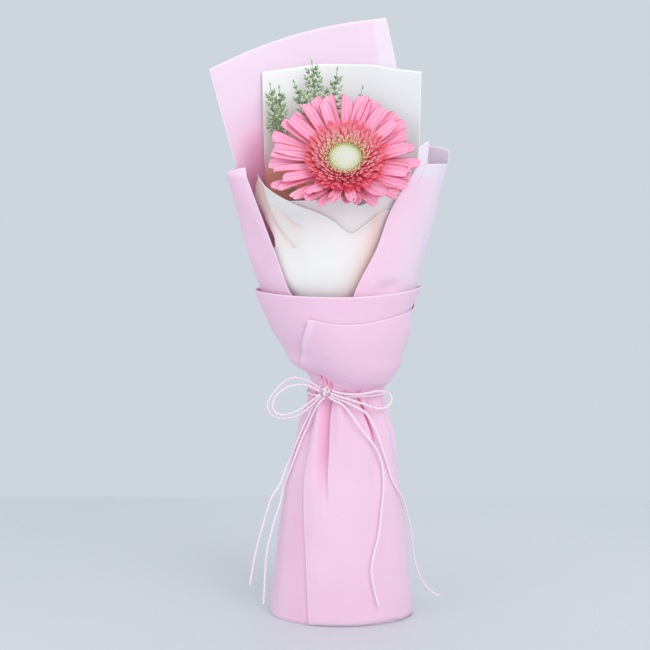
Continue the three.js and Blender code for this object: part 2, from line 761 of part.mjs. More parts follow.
function discDome() {
  const outline = [[0, discShape.floor], [DISC_RADIUS, discShape.floor]];
  for (let ring = discBuds.rings; ring >= 0; ring -= 1) {
    const radius = DISC_RADIUS * Math.sin((0.5 * Math.PI * ring) / discBuds.rings);
    const flatness = Math.sqrt(1 - (radius / (DISC_RADIUS * discShape.spread)) ** 2);
    outline.push([radius, discShape.edge + discShape.rise * flatness]);
  }
  const geometry = turned(outline, discBuds.spokes);
  const position = geometry.attributes.position;
  for (let i = 0; i < position.count; i += 1) {
    const radius = Math.hypot(position.getX(i), position.getY(i));
    const share = Math.asin(Math.min(1, radius / DISC_RADIUS)) / (0.5 * Math.PI);
    const ring = Math.round(share * discBuds.rings);
    const turn = Math.atan2(position.getY(i), position.getX(i)) / (2 * Math.PI);
    const spoke = Math.round(turn * discBuds.spokes);
    if (position.getZ(i) > discShape.edge && ring >= discBuds.innermost && (ring + spoke) % 2 === 0) {
      position.setZ(i, position.getZ(i) + discBuds.relief);
    }
  }
  return facingOut(geometry);
}

const disc = addMesh("gerbera_disc", discDome(), discGreen);
flower.add(rayPetals, florets, disc);

// ---------------------------------------------------------------- fern sprigs

const FROND_THICKNESS = 0.8;
const FROND_RIB = 0.6; // half the rib's width
const FROND_FOLD = 0.12; // how much the two halves rise from the rib
const frondGrowth = { first: 0.26, last: 0.9, taper: 0.62 };

// A branchlet's own outline, in shares of its length, with a leaflet on either side.
const branchlet = { half: 0.45, leaf: 0.26, below: 0.62, notch: 0.55, above: 0.8, root: 0.1 };
const BRANCHLET_ANGLE = 33 * DEGREE; // from the rib

function branchletEdge(height, length) {
  const { half, leaf, below, notch, above, root } = branchlet;
  const outwards = Math.sin(BRANCHLET_ANGLE);
  const upwards = Math.cos(BRANCHLET_ANGLE);
  const point = (share, aside) => [
    FROND_RIB + share * length * outwards + aside * upwards,
    height + share * length * upwards - aside * outwards,
  ];
  return [
    point(0, half),
    point(below, leaf * length),
    point(notch, half),
    point(1, 0),
    point(below, -half),
    point(above, -leaf * length),
    point(root, -half),
  ];
}

// One long edge of a frond, from its root to just below its tip.
function frondEdge(length, branchlets, spread, turn) {
  const edge = [[FROND_RIB, 0]];
  for (let i = 0; i < branchlets; i += 1) {
    const share = (i + turn) / branchlets;
    const height = length * mix(frondGrowth.first, frondGrowth.last, share);
    edge.push(...branchletEdge(height, spread * (1 - frondGrowth.taper * share)));
  }
  return edge;
}

// A frond is one thin arched blade whose branchlets are cut back to the rib.
function frond({ root, tip, branchlets, spread, arch, lean }) {
  const from = new THREE.Vector3(...root);
  const grow = new THREE.Vector3(...tip).sub(from);
  const length = grow.length();
  const right = frondEdge(length, branchlets, spread, 0.5);
  const left = frondEdge(length, branchlets, spread, 0).map(([x, y]) => [-x, y]);
  const outline = [...right, [0, length], ...left.reverse()];
  const shape = new THREE.Shape(outline.map(([x, y]) => new THREE.Vector2(x, y)));
  const blade = tidied(new THREE.ExtrudeGeometry(shape, { depth: FROND_THICKNESS, bevelEnabled: false }));
  const position = blade.attributes.position;
  for (let i = 0; i < position.count; i += 1) {
    const share = position.getY(i) / length;
    const fold = FROND_FOLD * Math.abs(position.getX(i));
    position.setZ(i, position.getZ(i) - FROND_THICKNESS / 2 + 4 * arch * share * (1 - share) + fold);
  }
  grow.normalize();
  const facing = new THREE.Vector3(Math.sin(lean * DEGREE), -Math.cos(lean * DEGREE), 0);
  const across = grow.clone().cross(facing).normalize();
  const frame = new THREE.Matrix4().makeBasis(across, grow, across.clone().cross(grow));
  frame.setPosition(from);
  return blade.applyMatrix4(frame);
}

function sprig(name, stem, fronds) {
  const pieces = [tube(stem, SPRIG_STEM_RADIUS, 6, 10)];
  fronds.forEach((shape) => pieces.push(frond(shape)));
  addMesh(name, join(pieces), sprigGreen);
}

const sprigOffset = STEM_RADIUS + SEAT_GAP + SPRIG_STEM_RADIUS;
const leftStemX = WAIST_CENTRE_X - sprigOffset;
const rightStemX = WAIST_CENTRE_X + sprigOffset;

sprig("fern_sprig_left", [
  [leftStemX, 0, 112],
  [leftStemX, 0, 150],
  [leftStemX, 0, 182],
  [-4, 2, 215],
  [-16, 8, 258],
  [-30, 14, 300],
  [-40, 18, 330],
  [-45, 20.5, 352],
], [
  { root: [-43, 19.6, 343], tip: [-50.5, 24, 392], branchlets: 5, spread: 8, arch: 1.5, lean: -20 },
  { root: [-40, 18, 330], tip: [-44, 21.5, 391], branchlets: 6, spread: 8, arch: 1, lean: 15 },
  { root: [-24, 11.2, 282], tip: [-36, -1, 322], branchlets: 4, spread: 7, arch: 1, lean: -25 },
]);

sprig("fern_sprig_centre", [
  [rightStemX, 0, 112],
  [rightStemX, 0, 150],
  [rightStemX, 0, 182],
  [9.2, 4, 215],
  [5, 10, 258],
  [-4, 16, 300],
  [-12, 20.5, 335],
  [-17, 24.5, 365],
], [
  { root: [-11, 20, 331], tip: [-33, 24, 394], branchlets: 6, spread: 8, arch: 1, lean: -10 },
  { root: [-15, 23, 352], tip: [-20.3, 30, 408], branchlets: 6, spread: 15, arch: 1, lean: 5 },
  { root: [-12, 20.5, 335], tip: [-2.1, 28, 403], branchlets: 6, spread: 12, arch: 1.5, lean: 12 },
  { root: [-6, 17.2, 308], tip: [16.1, 25, 389], branchlets: 5, spread: 8, arch: 1, lean: 0 },
]);

// ---------------------------------------------------------------- twine, knot and bow

const KNOT_CENTRE = [-10.4, -18.2, 171.6];
const KNOT_RADII = [4.2, 2.4, 4];
const TWINE_SIDES = 8;

const knot = tidied(new THREE.SphereGeometry(1, 12, 8));
knot.scale(...KNOT_RADII);
addMesh("twine_knot", knot, twineWhite).position.set(...KNOT_CENTRE);

// The turn round the waist leaves the knot at its right and comes back at its left.
const waistTurn = { start: 229, end: -98, points: 28, slack: 0.4, drop: 0.4 };

function waistRoute() {
  const clear = PAPER / 2 + SEAT_GAP + TWINE_DIAMETER / 2 + waistTurn.slack;
  const route = [];
  for (let i = 0; i <= waistTurn.points; i += 1) {
    const angle = mix(waistTurn.start, waistTurn.end, i / waistTurn.points) * DEGREE;
    const x = WAIST_CENTRE_X + (WAIST_HALF_WIDTH + clear) * Math.cos(angle);
    const y = (WAIST_HALF_DEPTH + clear) * Math.sin(angle);
    route.push([x, y, TIE_HEIGHT - waistTurn.drop]);
  }
  return route;
}

const twine = [
  { name: "twine_waist_turn", steps: 19, route: waistRoute() },
  {
    name: "twine_left_loop_outer",
    steps: 10,
    route: [
      [-14.4, -18.4, 173.8], [-18.2, -17, 176.2], [-22, -15.2, 178.2], [-28.2, -13, 179.9],
      [-34, -12, 180.2], [-40.6, -11, 176.9], [-45.8, -10.5, 171.6], [-50.5, -10, 165.6],
      [-52.8, -10, 160.8], [-51.6, -10.5, 155.2], [-48, -11, 151.4], [-43, -12, 150.2],
      [-37.6, -13, 150.6], [-30.1, -14.4, 153], [-24.6, -15.6, 157.2], [-19, -17, 162.6],
      [-13.7, -18.2, 168.2],
    ],
  },
  {
    name: "twine_left_loop_inner",
    steps: 10,
    route: [
      [-15, -19.7, 172], [-18.5, -19.4, 174], [-22.6, -18, 175.6], [-29, -16, 176],
      [-34.8, -15, 174.9], [-39.3, -14.2, 173], [-43.6, -13.6, 170], [-46.9, -13.2, 166.2],
      [-48.8, -13, 161.7], [-48.4, -13.2, 157.2], [-45.8, -13.8, 154.4], [-41.4, -14.6, 153.2],
      [-36.2, -15.6, 154.4], [-29.7, -17, 157.5], [-24, -18.2, 161.6], [-18.8, -19.6, 166],
      [-14.3, -20, 169.8],
    ],
  },
  {
    name: "twine_right_loop",
    steps: 10,
    route: [
      [-5.9, -19.4, 172.6], [-1, -21, 171], [5, -22, 170.2], [10, -22.4, 170],
      [15, -22.6, 170.3], [20.4, -22.8, 171.2], [25, -21.8, 172], [29.5, -19, 172],
      [33.4, -15, 170.6], [36.4, -12.4, 168], [37.8, -12, 165], [36.8, -13, 161.4],
      [33, -15.5, 159], [28, -18.5, 158.8], [22, -20.8, 161], [15, -22, 163.6],
      [8, -22.8, 166], [1, -22.6, 168], [-7, -20.5, 170.6],
    ],
  },
  {
    name: "twine_tail_left_outer",
    steps: 10,
    route: [
      [-12.2, -17, 167.7], [-17.8, -14.2, 163], [-22, -11.8, 153.8], [-26.4, -9.9, 144],
      [-31, -8.6, 132.6], [-35.6, -7, 120.5], [-40, -8, 110.5], [-43.8, -10, 100.2],
      [-47, -12, 95.4], [-50.6, -13, 89.8], [-53.6, -13.5, 80], [-56.6, -14, 69.6],
      [-59.5, -14.5, 59.8], [-62.5, -15, 47], [-64.8, -15, 34], [-66.3, -15, 25],
    ],
  },
  {
    name: "twine_tail_left_inner",
    steps: 10,
    route: [
      [-10.9, -18.5, 166.9], [-15, -17.8, 163], [-19.6, -14.6, 154], [-23.6, -12.2, 144.3],
      [-28.3, -11.2, 133.3], [-32.4, -10.6, 122], [-36.6, -9.2, 110.3], [-40.8, -6.5, 99.2],
      [-43.8, -9, 86], [-46.6, -11, 77.6], [-48.9, -12.5, 70], [-51.4, -14, 60.2],
      [-53.6, -15, 50.8], [-54.9, -15.5, 36.6], [-55.6, -16, 23.2], [-56.4, -16, 10.7],
    ],
  },
  {
    name: "twine_tail_right_inner",
    steps: 9,
    route: [
      [-8.2, -18.7, 167.7], [-4, -20.2, 165], [0.9, -21.8, 163], [7.8, -22.5, 155.9],
      [13.6, -24.1, 147.4], [19.8, -25, 139.3], [25.4, -24.3, 131.8], [28.6, -23.1, 125.4],
      [30.6, -22.6, 118.7], [31.7, -23, 109.2], [31.7, -24.3, 99.1], [30.2, -26.3, 84.7],
      [28.2, -28.9, 66.6], [25.1, -31.3, 54.6], [23.1, -32.7, 42.9], [23.9, -33.1, 33.9],
      [25.6, -33, 24.9], [28.5, -32.9, 14.2],
    ],
  },
  {
    name: "twine_tail_right_outer",
    steps: 10,
    route: [
      [-6.9, -19.8, 168.6], [-1.5, -21, 166.4], [3.8, -21.4, 164.5], [11.2, -22.6, 161],
      [18, -22, 157], [24, -21.8, 147.8], [28.6, -20.8, 136.4], [33.6, -20, 120.6],
      [38.2, -18.5, 105.3], [42.1, -15.9, 97.9], [46.2, -10.3, 90], [49.3, -4, 79.5],
      [52, 0, 67], [54.2, 3, 53], [56, 5, 39.3], [58.9, 7, 28.5],
      [62.4, 9, 20], [69, 11, 12], [76, 13, 7.6],
    ],
  },
];
for (const { name, steps, route } of twine) {
  addMesh(name, tube(route, TWINE_DIAMETER / 2, TWINE_SIDES, steps), twineWhite);
}

// The origin lies on the surface, under the middle of the flower and its papers.
bouquet.updateMatrixWorld(true);
const reach = new THREE.Box3();
for (const piece of bouquet.children) {
  if (!piece.name.startsWith("twine")) {
    reach.expandByObject(piece, true);
  }
}
const middle = reach.getCenter(new THREE.Vector3());
bouquet.position.set(-middle.x, -middle.y, 0);
bouquet.updateMatrixWorld(true);

export default bouquet;
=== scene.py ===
# A cut gerbera with fern sprigs, wrapped in pink and white paper and tied with a twine bow.
# The dictionaries hold millimetres in the model's own axes; put() gives the frame's metres.
import math

import bpy
import numpy as np
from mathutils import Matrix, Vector


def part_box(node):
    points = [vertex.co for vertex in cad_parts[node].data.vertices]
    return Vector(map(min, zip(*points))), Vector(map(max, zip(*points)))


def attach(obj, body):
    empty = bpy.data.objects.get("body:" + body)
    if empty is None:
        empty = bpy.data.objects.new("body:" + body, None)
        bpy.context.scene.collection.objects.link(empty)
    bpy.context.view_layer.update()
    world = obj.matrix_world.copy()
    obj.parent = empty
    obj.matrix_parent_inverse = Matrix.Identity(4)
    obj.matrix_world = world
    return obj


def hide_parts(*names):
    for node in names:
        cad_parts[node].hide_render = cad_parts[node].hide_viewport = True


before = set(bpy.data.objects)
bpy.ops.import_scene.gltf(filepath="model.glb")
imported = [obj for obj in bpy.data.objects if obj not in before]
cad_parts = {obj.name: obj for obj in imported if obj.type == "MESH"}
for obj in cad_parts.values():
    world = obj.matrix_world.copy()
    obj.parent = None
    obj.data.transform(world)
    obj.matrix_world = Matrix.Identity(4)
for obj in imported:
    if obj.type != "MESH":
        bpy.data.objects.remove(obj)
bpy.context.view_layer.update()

mm = 0.001
knot = {"centre": (-10.4, -18.2, 171.6), "radii": (4.2, 2.4, 4)}
knotLow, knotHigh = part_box("twine_knot")
frameShift = (np.array(knotLow) + np.array(knotHigh)) / 2 / mm - np.array(knot["centre"])
scene = bpy.context.scene
scene.view_settings.view_transform = "Standard"
print("wrapped gerbera: frame loaded, shift in mm", frameShift.round(2))


def put(points):
    return (np.asarray(points, float) + frameShift) * mm


# The camera stands where the photographer did, a little above the flower.
viewpoint = {"position": (-10.8, -1300, 430), "lookDown": 9.3, "lens": 100, "sensor": 36, "sees": 50}
cameraData = bpy.data.cameras.new("photoCamera")
cameraData.lens = viewpoint["lens"]
cameraData.sensor_width = viewpoint["sensor"]
cameraData.clip_end = viewpoint["sees"]
camera = bpy.data.objects.new("photoCamera", cameraData)
camera.location = put(viewpoint["position"])
camera.rotation_euler = (math.radians(90 - viewpoint["lookDown"]), 0, 0)
scene.collection.objects.link(camera)
scene.camera = camera


def rampUp(value, start, end):
    t = np.clip((value - start) / (end - start), 0, 1)
    return t * t * (3 - 2 * t)


# Rises from start to full, and falls again from the third value to the last.
def between(value, start, full, falling, end):
    return rampUp(value, start, full) * (1 - rampUp(value, falling, end))


# 1 in the middle, a third one width away, then soon nothing.
def bell(offset, width):
    return np.exp(-((offset / width) ** 2))


# Nothing before the line, 1 on it, and fading out beyond it.
def trail(offset, length):
    return np.exp(-np.clip(offset, 0, 90) / length) * (offset >= 0)


def mix(low, high, share):
    return low + (high - low) * share


# A smooth curve through the stations that never swings past them.
def flow(at, stations, values):
    stations = np.asarray(stations, float)
    values = np.asarray(values, float)
    step = np.diff(stations)
    slope = np.diff(values) / step
    tangent = np.zeros_like(values)
    product = slope[:-1] * slope[1:]
    total = np.where(product > 0, slope[:-1] + slope[1:], 1)
    tangent[1:-1] = np.where(product > 0, 2 * product / total, 0)
    tangent[0], tangent[-1] = slope[0], slope[-1]
    at = np.clip(at, stations[0], stations[-1])
    i = np.clip(np.searchsorted(stations, at, side="right") - 1, 0, len(step) - 1)
    t = (at - stations[i]) / step[i]
    bend = tangent[i] * step[i] * t * (1 - t) ** 2 - tangent[i + 1] * step[i] * t * t * (1 - t)
    return values[i] + (values[i + 1] - values[i]) * t * t * (3 - 2 * t) + bend


# The values of several evenly stepped spans, each once and in order.
def spansOf(*spans):
    return np.unique(np.concatenate([np.linspace(*span) for span in spans]))


def fullTurn(count):
    return np.linspace(0, 2 * math.pi, count, endpoint=False)


def sectionAt(sections, z):
    return {key: flow(z, sections["z"], values) for key, values in sections.items() if key != "z"}


# Points at angles in degrees on the sections' ovals, moved outwards by an offset.
def onSection(section, degrees, z, offset=0):
    angle = np.radians(degrees)
    sine = np.sin(angle)
    depth = np.sign(sine) * np.abs(sine) ** section.get("crease", 1)
    x = section["cx"] + (section["a"] + offset) * np.cos(angle)
    y = section["cy"] + (section["b"] + offset) * depth
    return np.stack((x, y, z + 0 * angle), axis=-1)


waveSet = {"count": 6, "shortest": 22, "longest": 75}


# Long soft waves, so that no sheet is perfectly smooth. across and up are millimetres.
def softWaves(across, up, seed, amount):
    draw = np.random.default_rng(seed)
    total = 0
    for wave in range(waveSet["count"]):
        length = draw.uniform(waveSet["shortest"], waveSet["longest"])
        heading = draw.uniform(0, math.pi)
        phase = draw.uniform(0, 2 * math.pi)
        along = across * math.cos(heading) + up * math.sin(heading)
        total = total + np.sin(2 * math.pi * along / length + phase)
    return amount * total / waveSet["count"]


def srgb(*colour):
    shares = [value / 255 for value in colour]
    return (*(s / 12.92 if s <= 0.04045 else ((s + 0.055) / 1.055) ** 2.4 for s in shares), 1)


# A finish in the making. Each paint() lays a colour over what is there, by a value's range.
class Finish:
    def __init__(self, name, roughness, colour, **sockets):
        self.material = bpy.data.materials.new(name)
        self.material.use_nodes = True
        self.tree = self.material.node_tree
        self.shader = self.tree.nodes["Principled BSDF"]
        self.colour = srgb(*colour)
        self.fill(self.shader, Roughness=roughness, **sockets)

    def plug(self, socket, value):
        if isinstance(value, bpy.types.NodeSocket):
            self.tree.links.new(value, socket)
        else:
            socket.default_value = value

    # sockets are named with _ for a space
    def fill(self, made, **sockets):
        for name, value in sockets.items():
            self.plug(made.inputs[name.replace("_", " ")], value)

    def node(self, kind, settings=None, **sockets):
        made = self.tree.nodes.new("ShaderNode" + kind)
        for key, value in (settings or {}).items():
            setattr(made, key, value)
        self.fill(made, **sockets)
        return made

    def read(self, name):
        return self.node("Attribute", {"attribute_name": name}).outputs["Fac"]

    def noise(self, scale, detail=2, stretch=(1, 1, 1)):
        place = self.node("TexCoord").outputs["Object"]
        mapped = self.node("Mapping", Vector=place, Scale=stretch).outputs["Vector"]
        return self.node("TexNoise", Vector=mapped, Scale=scale, Detail=detail).outputs["Fac"]

    def spread(self, value, low, high, toLow=0.0, toHigh=1.0):
        ends = {"From_Min": low, "From_Max": high, "To_Min": toLow, "To_Max": toHigh}
        return self.node("MapRange", Value=value, **ends).outputs["Result"]

    def work(self, operation, first, second=0):
        made = self.node("Math", {"operation": operation})
        self.plug(made.inputs[0], first)
        self.plug(made.inputs[1], second)
        return made.outputs["Value"]

    def paint(self, colour, value, *limits):
        share = self.spread(value, *limits) if limits else value
        made = self.node("Mix", {"data_type": "RGBA"})
        ends = {"Factor_Float": share, "A_Color": self.colour, "B_Color": srgb(*colour)}
        for socket in made.inputs:
            if socket.identifier in ends:
                self.plug(socket, ends[socket.identifier])
        self.colour = next(s for s in made.outputs if s.identifier == "Result_Color")

    def roughen(self, value, low, high):
        self.fill(self.shader, Roughness=self.spread(value, 0.3, 0.7, low, high))

    def done(self, height=None, strength=0.3, depth=0.2):
        self.fill(self.shader, Base_Color=self.colour)
        if height is not None:
            bump = self.node("Bump", Height=height, Strength=strength, Distance=depth * mm)
            self.fill(self.shader, Normal=bump.outputs["Normal"])
        return self.material


# Frosted wrapping paper with a felted grain and a painted highlight along its cut edge. Its painted
# light and shade run from -1, painted light where light comes through one thin layer, to 1, painted
# shade deep in a fold.
def paperFinish(name, glow, lit, cloudy, thin, edge, deep):
    soft = {"Subsurface_Weight": 0.2, "Subsurface_Radius": glow, "Subsurface_Scale": 0.0005}
    look = Finish(name, 0.55, lit, Sheen_Weight=0.1, Sheen_Roughness=0.5, Specular_IOR_Level=0.3, **soft)
    paintedShading = look.read("paintedShading")
    look.paint(cloudy, look.noise(14, 3), 0.3, 0.7)
    # painted light and shade: the thin colour where light comes through, the highlight on cut edges and the
    # shade colour of folds
    look.paint(thin, paintedShading, 0, -1)
    look.paint(edge, look.read("edge"), 0.15, 0.9, 0, 0.75)
    look.paint(deep, paintedShading, 0, 1)
    look.roughen(look.noise(60), 0.48, 0.62)
    grain = look.work("ADD", look.noise(1500, 3), look.noise(240, 4, (1, 1, 0.35)))
    return look.done(grain, 0.22)


# thin: painted light (a cool grey of painted shade on the white); edge: painted highlight; deep: painted
# shade
papers = {
    "pink": paperFinish(
        "frostedPinkPaper", (1, 0.75, 0.9), lit=(247, 208, 231), cloudy=(243, 200, 225),
        thin=(234, 223, 237), edge=(251, 232, 245), deep=(242, 112, 164),
    ),
    "white": paperFinish(
        "frostedWhitePaper", (1, 0.95, 0.95), lit=(245, 244, 242), cloudy=(239, 239, 237),
        thin=(221, 224, 228), edge=(252, 250, 250), deep=(250, 172, 152),
    ),
}


def twineFinish():
    sheen = {"Sheen_Weight": 0.3, "Sheen_Roughness": 0.4, "Specular_IOR_Level": 0.2}
    look = Finish("pinkWhiteTwine", 0.75, (240, 200, 220), **sheen)
    look.paint((252, 238, 246), look.read("ply"))
    fuzz = look.noise(2600, 4)
    look.paint((255, 250, 253), fuzz, 0.35, 0.65, 0, 0.35)
    return look.done(fuzz, 0.5)


def petalFinish():
    soft = {"Subsurface_Weight": 0.25, "Subsurface_Radius": (1, 0.3, 0.4), "Subsurface_Scale": 0.001}
    look = Finish("gerberaPetal", 0.48, (250, 150, 186), Sheen_Weight=0.15, Specular_IOR_Level=0.35, **soft)
    out, side = look.read("along"), look.read("across")
    edge = look.work("ABSOLUTE", side)
    look.paint((253, 174, 205), out, 0.35, 1)
    look.paint((255, 196, 222), look.noise(45, 3), 0.35, 0.7, 0, 0.5)
    look.paint((244, 112, 146), out, 0.4, 0.15, 0, 0.8)
    veins = look.work("SINE", look.work("MULTIPLY", side, 26))
    look.paint((240, 108, 148), veins, 0.2, 1, 0, 0.2)
    # the two long grooves and the rim are painted darker coral: partly the petal's own colour, partly
    # painted shade in the grooves and between overlapping petals
    groove = look.work("ABSOLUTE", look.work("SUBTRACT", edge, 0.36))
    look.paint((232, 92, 124), groove, 0.07, 0.01, 0, 0.55)
    look.paint((210, 64, 98), edge, 0.8, 1, 0, 0.9)
    height = look.work("ADD", look.work("MULTIPLY", veins, 0.6), look.noise(900))
    return look.done(height, 0.35, 0.25)


def floretFinish():
    soft = {"Subsurface_Weight": 0.35, "Subsurface_Radius": (1, 0.35, 0.4), "Subsurface_Scale": 0.0012}
    look = Finish("coralFloret", 0.5, (228, 62, 94), Specular_IOR_Level=0.4, **soft)
    out, inner = look.read("along"), look.read("inner")
    look.paint((250, 102, 130), out, 0.05, 0.7)
    look.paint((232, 76, 108), look.read("tint"), 0, 1, 0, 0.4)
    # pale tips, the paler the nearer they stand to the disc, and the last ones creamy all along
    tips = look.spread(inner, 0, 0.6, 0.12, 0.95)
    look.paint((255, 208, 208), look.work("MULTIPLY", tips, look.spread(out, 0.6, 0.95)))
    cream = look.spread(inner, 0.45, 1, 0, 0.85)
    look.paint((246, 222, 166), look.work("MULTIPLY", cream, look.spread(out, 0.1, 0.8)))
    return look.done(look.noise(1600))


def budFinish():
    look = Finish("closedBuds", 0.55, (240, 240, 230), Subsurface_Weight=0.15, Subsurface_Scale=0.0008)
    tint = look.read("tint")
    look.paint((208, 220, 128), tint, 0.55, 0.9)
    look.paint((200, 168, 112), tint, 0.88, 1)
    look.paint((244, 245, 228), look.read("along"), 0.5, 1, 0, 0.45)
    return look.done(look.noise(2400), 0.3, 0.1)


def greenFinish(name, deep, middle, pale, scale, roughness):
    soft = {"Subsurface_Weight": 0.1, "Subsurface_Scale": 0.0008}
    look = Finish(name, roughness, middle, Specular_IOR_Level=0.35, **soft)
    look.paint(pale, look.noise(scale, 3), 0.3, 0.7)
    look.paint(deep, look.read("tint"), 0, 1, 0, 0.8)
    return look.done(look.noise(1400, 3, (1, 1, 0.2)))


twineLook = twineFinish()
petalLook = petalFinish()
floretLook = floretFinish()
budLook = budFinish()
stemLook = greenFinish("gerberaStemGreen", (92, 128, 66), (132, 172, 96), (164, 196, 122), 60, 0.5)
sprigLook = greenFinish("fernGreen", (46, 82, 58), (136, 180, 116), (198, 220, 166), 90, 0.55)
print("wrapped gerbera: materials ready")


def meshObject(name, vertices, faces, material, smooth=True, attributes=None):
    mesh = bpy.data.meshes.new(name)
    mesh.from_pydata(np.asarray(vertices).tolist(), [], faces)
    mesh.materials.append(material)
    mesh.polygons.foreach_set("use_smooth", np.zeros(len(mesh.polygons), bool) | smooth)
    for key, values in (attributes or {}).items():
        layer = mesh.attributes.new(key, "FLOAT", "POINT")
        layer.data.foreach_set("value", np.asarray(values, np.float32).reshape(-1))
    mesh.validate()
    piece = bpy.data.objects.new(name, mesh)
    scene.collection.objects.link(piece)
    return piece


# Every piece moves with the one body, and stands for the CAD node that it finishes.
def standFor(piece, nodeName):
    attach(piece, "root")
    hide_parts(nodeName)
    return piece


# Quads between rings of the same number of points, and a face over each end if they are capped.
def ringFaces(rings, sides, capped=True):
    i = np.arange((rings - 1) * sides).reshape(rings - 1, sides)
    j = np.roll(i, -1, axis=1)
    faces = np.stack((i, j, j + sides, i + sides), axis=-1).reshape(-1, 4).tolist()
    last = (rings - 1) * sides
    ends = [list(range(sides))[::-1], list(range(last, last + sides))]
    return faces + ends if capped else faces


# A grid of points thickened evenly to both sides: two faces, then the rim.
def shellOf(grid, thick):
    rows, columns = grid.shape[:2]
    count = rows * columns
    normal = np.cross(np.gradient(grid, axis=1), np.gradient(grid, axis=0))
    normal /= np.linalg.norm(normal, axis=-1, keepdims=True) + 1e-9
    lift = normal * thick / 2
    corner = np.arange(count).reshape(rows, columns)
    a, b, c, d = corner[:-1, :-1], corner[:-1, 1:], corner[1:, 1:], corner[1:, :-1]
    quads = [
        np.stack((a, d, c, b), axis=-1).reshape(-1, 4),
        np.stack((a, b, c, d), axis=-1).reshape(-1, 4) + count,
    ]
    for line in (corner[0, :], corner[-1, ::-1], corner[::-1, 0], corner[:, -1]):
        quads.append(np.stack((line[:-1], line[1:], line[1:] + count, line[:-1] + count), axis=-1))
    return np.concatenate((grid - lift, grid + lift)).reshape(-1, 3), np.concatenate(quads).tolist()


# Collects small closed forms into one mesh, with the values that their material reads.
class Heap:
    def __init__(self, *attributes):
        self.points, self.faces, self.count = [], [], 0
        self.values = {key: [] for key in attributes}

    def add(self, points, faces, **values):
        points = np.asarray(points, float).reshape(-1, 3)
        self.points.append(points)
        self.faces.extend([[i + self.count for i in face] for face in faces])
        self.count += len(points)
        for key, value in values.items():
            self.values[key].append(np.broadcast_to(np.asarray(value, float).reshape(-1), (len(points),)))

    # a rod along a path, its radius one number or one for each ring or point
    def rod(self, path, radius, sides, **values):
        normal, side = framesAlong(path)[1:]
        around = fullTurn(sides)[None, :, None]
        radius = np.broadcast_to(radius, (len(path), sides))[..., None]
        ring = path[:, None] + radius * (np.cos(around) * normal[:, None] + np.sin(around) * side[:, None])
        self.add(ring, ringFaces(len(path), sides), **values)

    # a thickened grid, its values given for each of the grid's points or for all
    def blade(self, grid, thick, **values):
        points, faces = shellOf(grid, thick)
        both = {key: np.tile(np.broadcast_to(v, grid.shape[:2]).reshape(-1), 2) for key, v in values.items()}
        self.add(points, faces, **both)

    def piece(self, name, material):
        attributes = {key: np.concatenate(value) for key, value in self.values.items()}
        return meshObject(name, put(np.vstack(self.points)), self.faces, material, attributes=attributes)


# A centripetal spline through the route's points, then even steps along it.
def smoothRoute(route, spacing):
    points = np.array(route, float)
    padded = np.vstack((2 * points[0] - points[1], points, 2 * points[-1] - points[-2]))
    fine = [points[:1]]
    for a, b, c, d in zip(padded, padded[1:], padded[2:], padded[3:]):
        gaps = [math.sqrt(np.linalg.norm(q - p)) for p, q in ((a, b), (b, c), (c, d))]
        ta, tb, tc, td = 0, gaps[0], gaps[0] + gaps[1], sum(gaps)
        t = np.linspace(tb, tc, 13)[1:, None]
        ab = a * (tb - t) / (tb - ta) + b * (t - ta) / (tb - ta)
        bc = b * (tc - t) / (tc - tb) + c * (t - tb) / (tc - tb)
        cd = c * (td - t) / (td - tc) + d * (t - tc) / (td - tc)
        abc = ab * (tc - t) / (tc - ta) + bc * (t - ta) / (tc - ta)
        bcd = bc * (td - t) / (td - tb) + cd * (t - tb) / (td - tb)
        fine.append(abc * (tc - t) / (tc - tb) + bcd * (t - tb) / (tc - tb))
    fine = np.vstack(fine)
    reached = np.concatenate(([0], np.cumsum(np.linalg.norm(np.diff(fine, axis=0), axis=1))))
    wanted = np.linspace(0, reached[-1], max(8, int(reached[-1] / spacing)))
    return np.stack([np.interp(wanted, reached, fine[:, k]) for k in range(3)], axis=1)


def pathLength(path):
    return float(np.linalg.norm(np.diff(path, axis=0), axis=1).sum())


# Axes that turn as little as they can along a path.
def framesAlong(path):
    tangent = np.gradient(path, axis=0)
    tangent /= np.linalg.norm(tangent, axis=1, keepdims=True)
    first = np.cross(tangent[0], (0.3, 0.9, 0.2))
    normals = [first / np.linalg.norm(first)]
    for t in tangent[1:]:
        n = normals[-1] - t * np.dot(normals[-1], t)
        normals.append(n / np.linalg.norm(n))
    normals = np.array(normals)
    return tangent, normals, np.cross(tangent, normals)


twine = {"diameter": 1.6, "lay": 4.2, "ringStep": 0.5, "sides": 12, "groove": 0.15}


# Two plies twisted round each other, along each path.
def twineMesh(name, *paths):
    heap = Heap("ply")
    for path in paths:
        turn = 2 * math.pi * np.linspace(0, pathLength(path), len(path)) / twine["lay"]
        ply = np.abs(np.cos(fullTurn(twine["sides"]) - turn[:, None] / 2))
        radius = twine["diameter"] / 2 * (1 - twine["groove"] * (1 - ply) ** 1.5)
        heap.rod(path, radius, twine["sides"], ply=ply)
    return heap.piece(name, twineLook)


# the turn lies clear of the gathered papers, with the outer wrap's own gap between
waist = {"centreX": 4.8, "halfWidth": 27, "halfDepth": 17.5, "z": 167.6, "clear": 1.95,
         "start": 229, "end": -98, "points": 29}
waistAngles = np.radians(np.linspace(waist["start"], waist["end"], waist["points"]))
waistRoute = np.stack((
    waist["centreX"] + (waist["halfWidth"] + waist["clear"]) * np.cos(waistAngles),
    (waist["halfDepth"] + waist["clear"]) * np.sin(waistAngles),
    np.full_like(waistAngles, waist["z"]),
), axis=1)

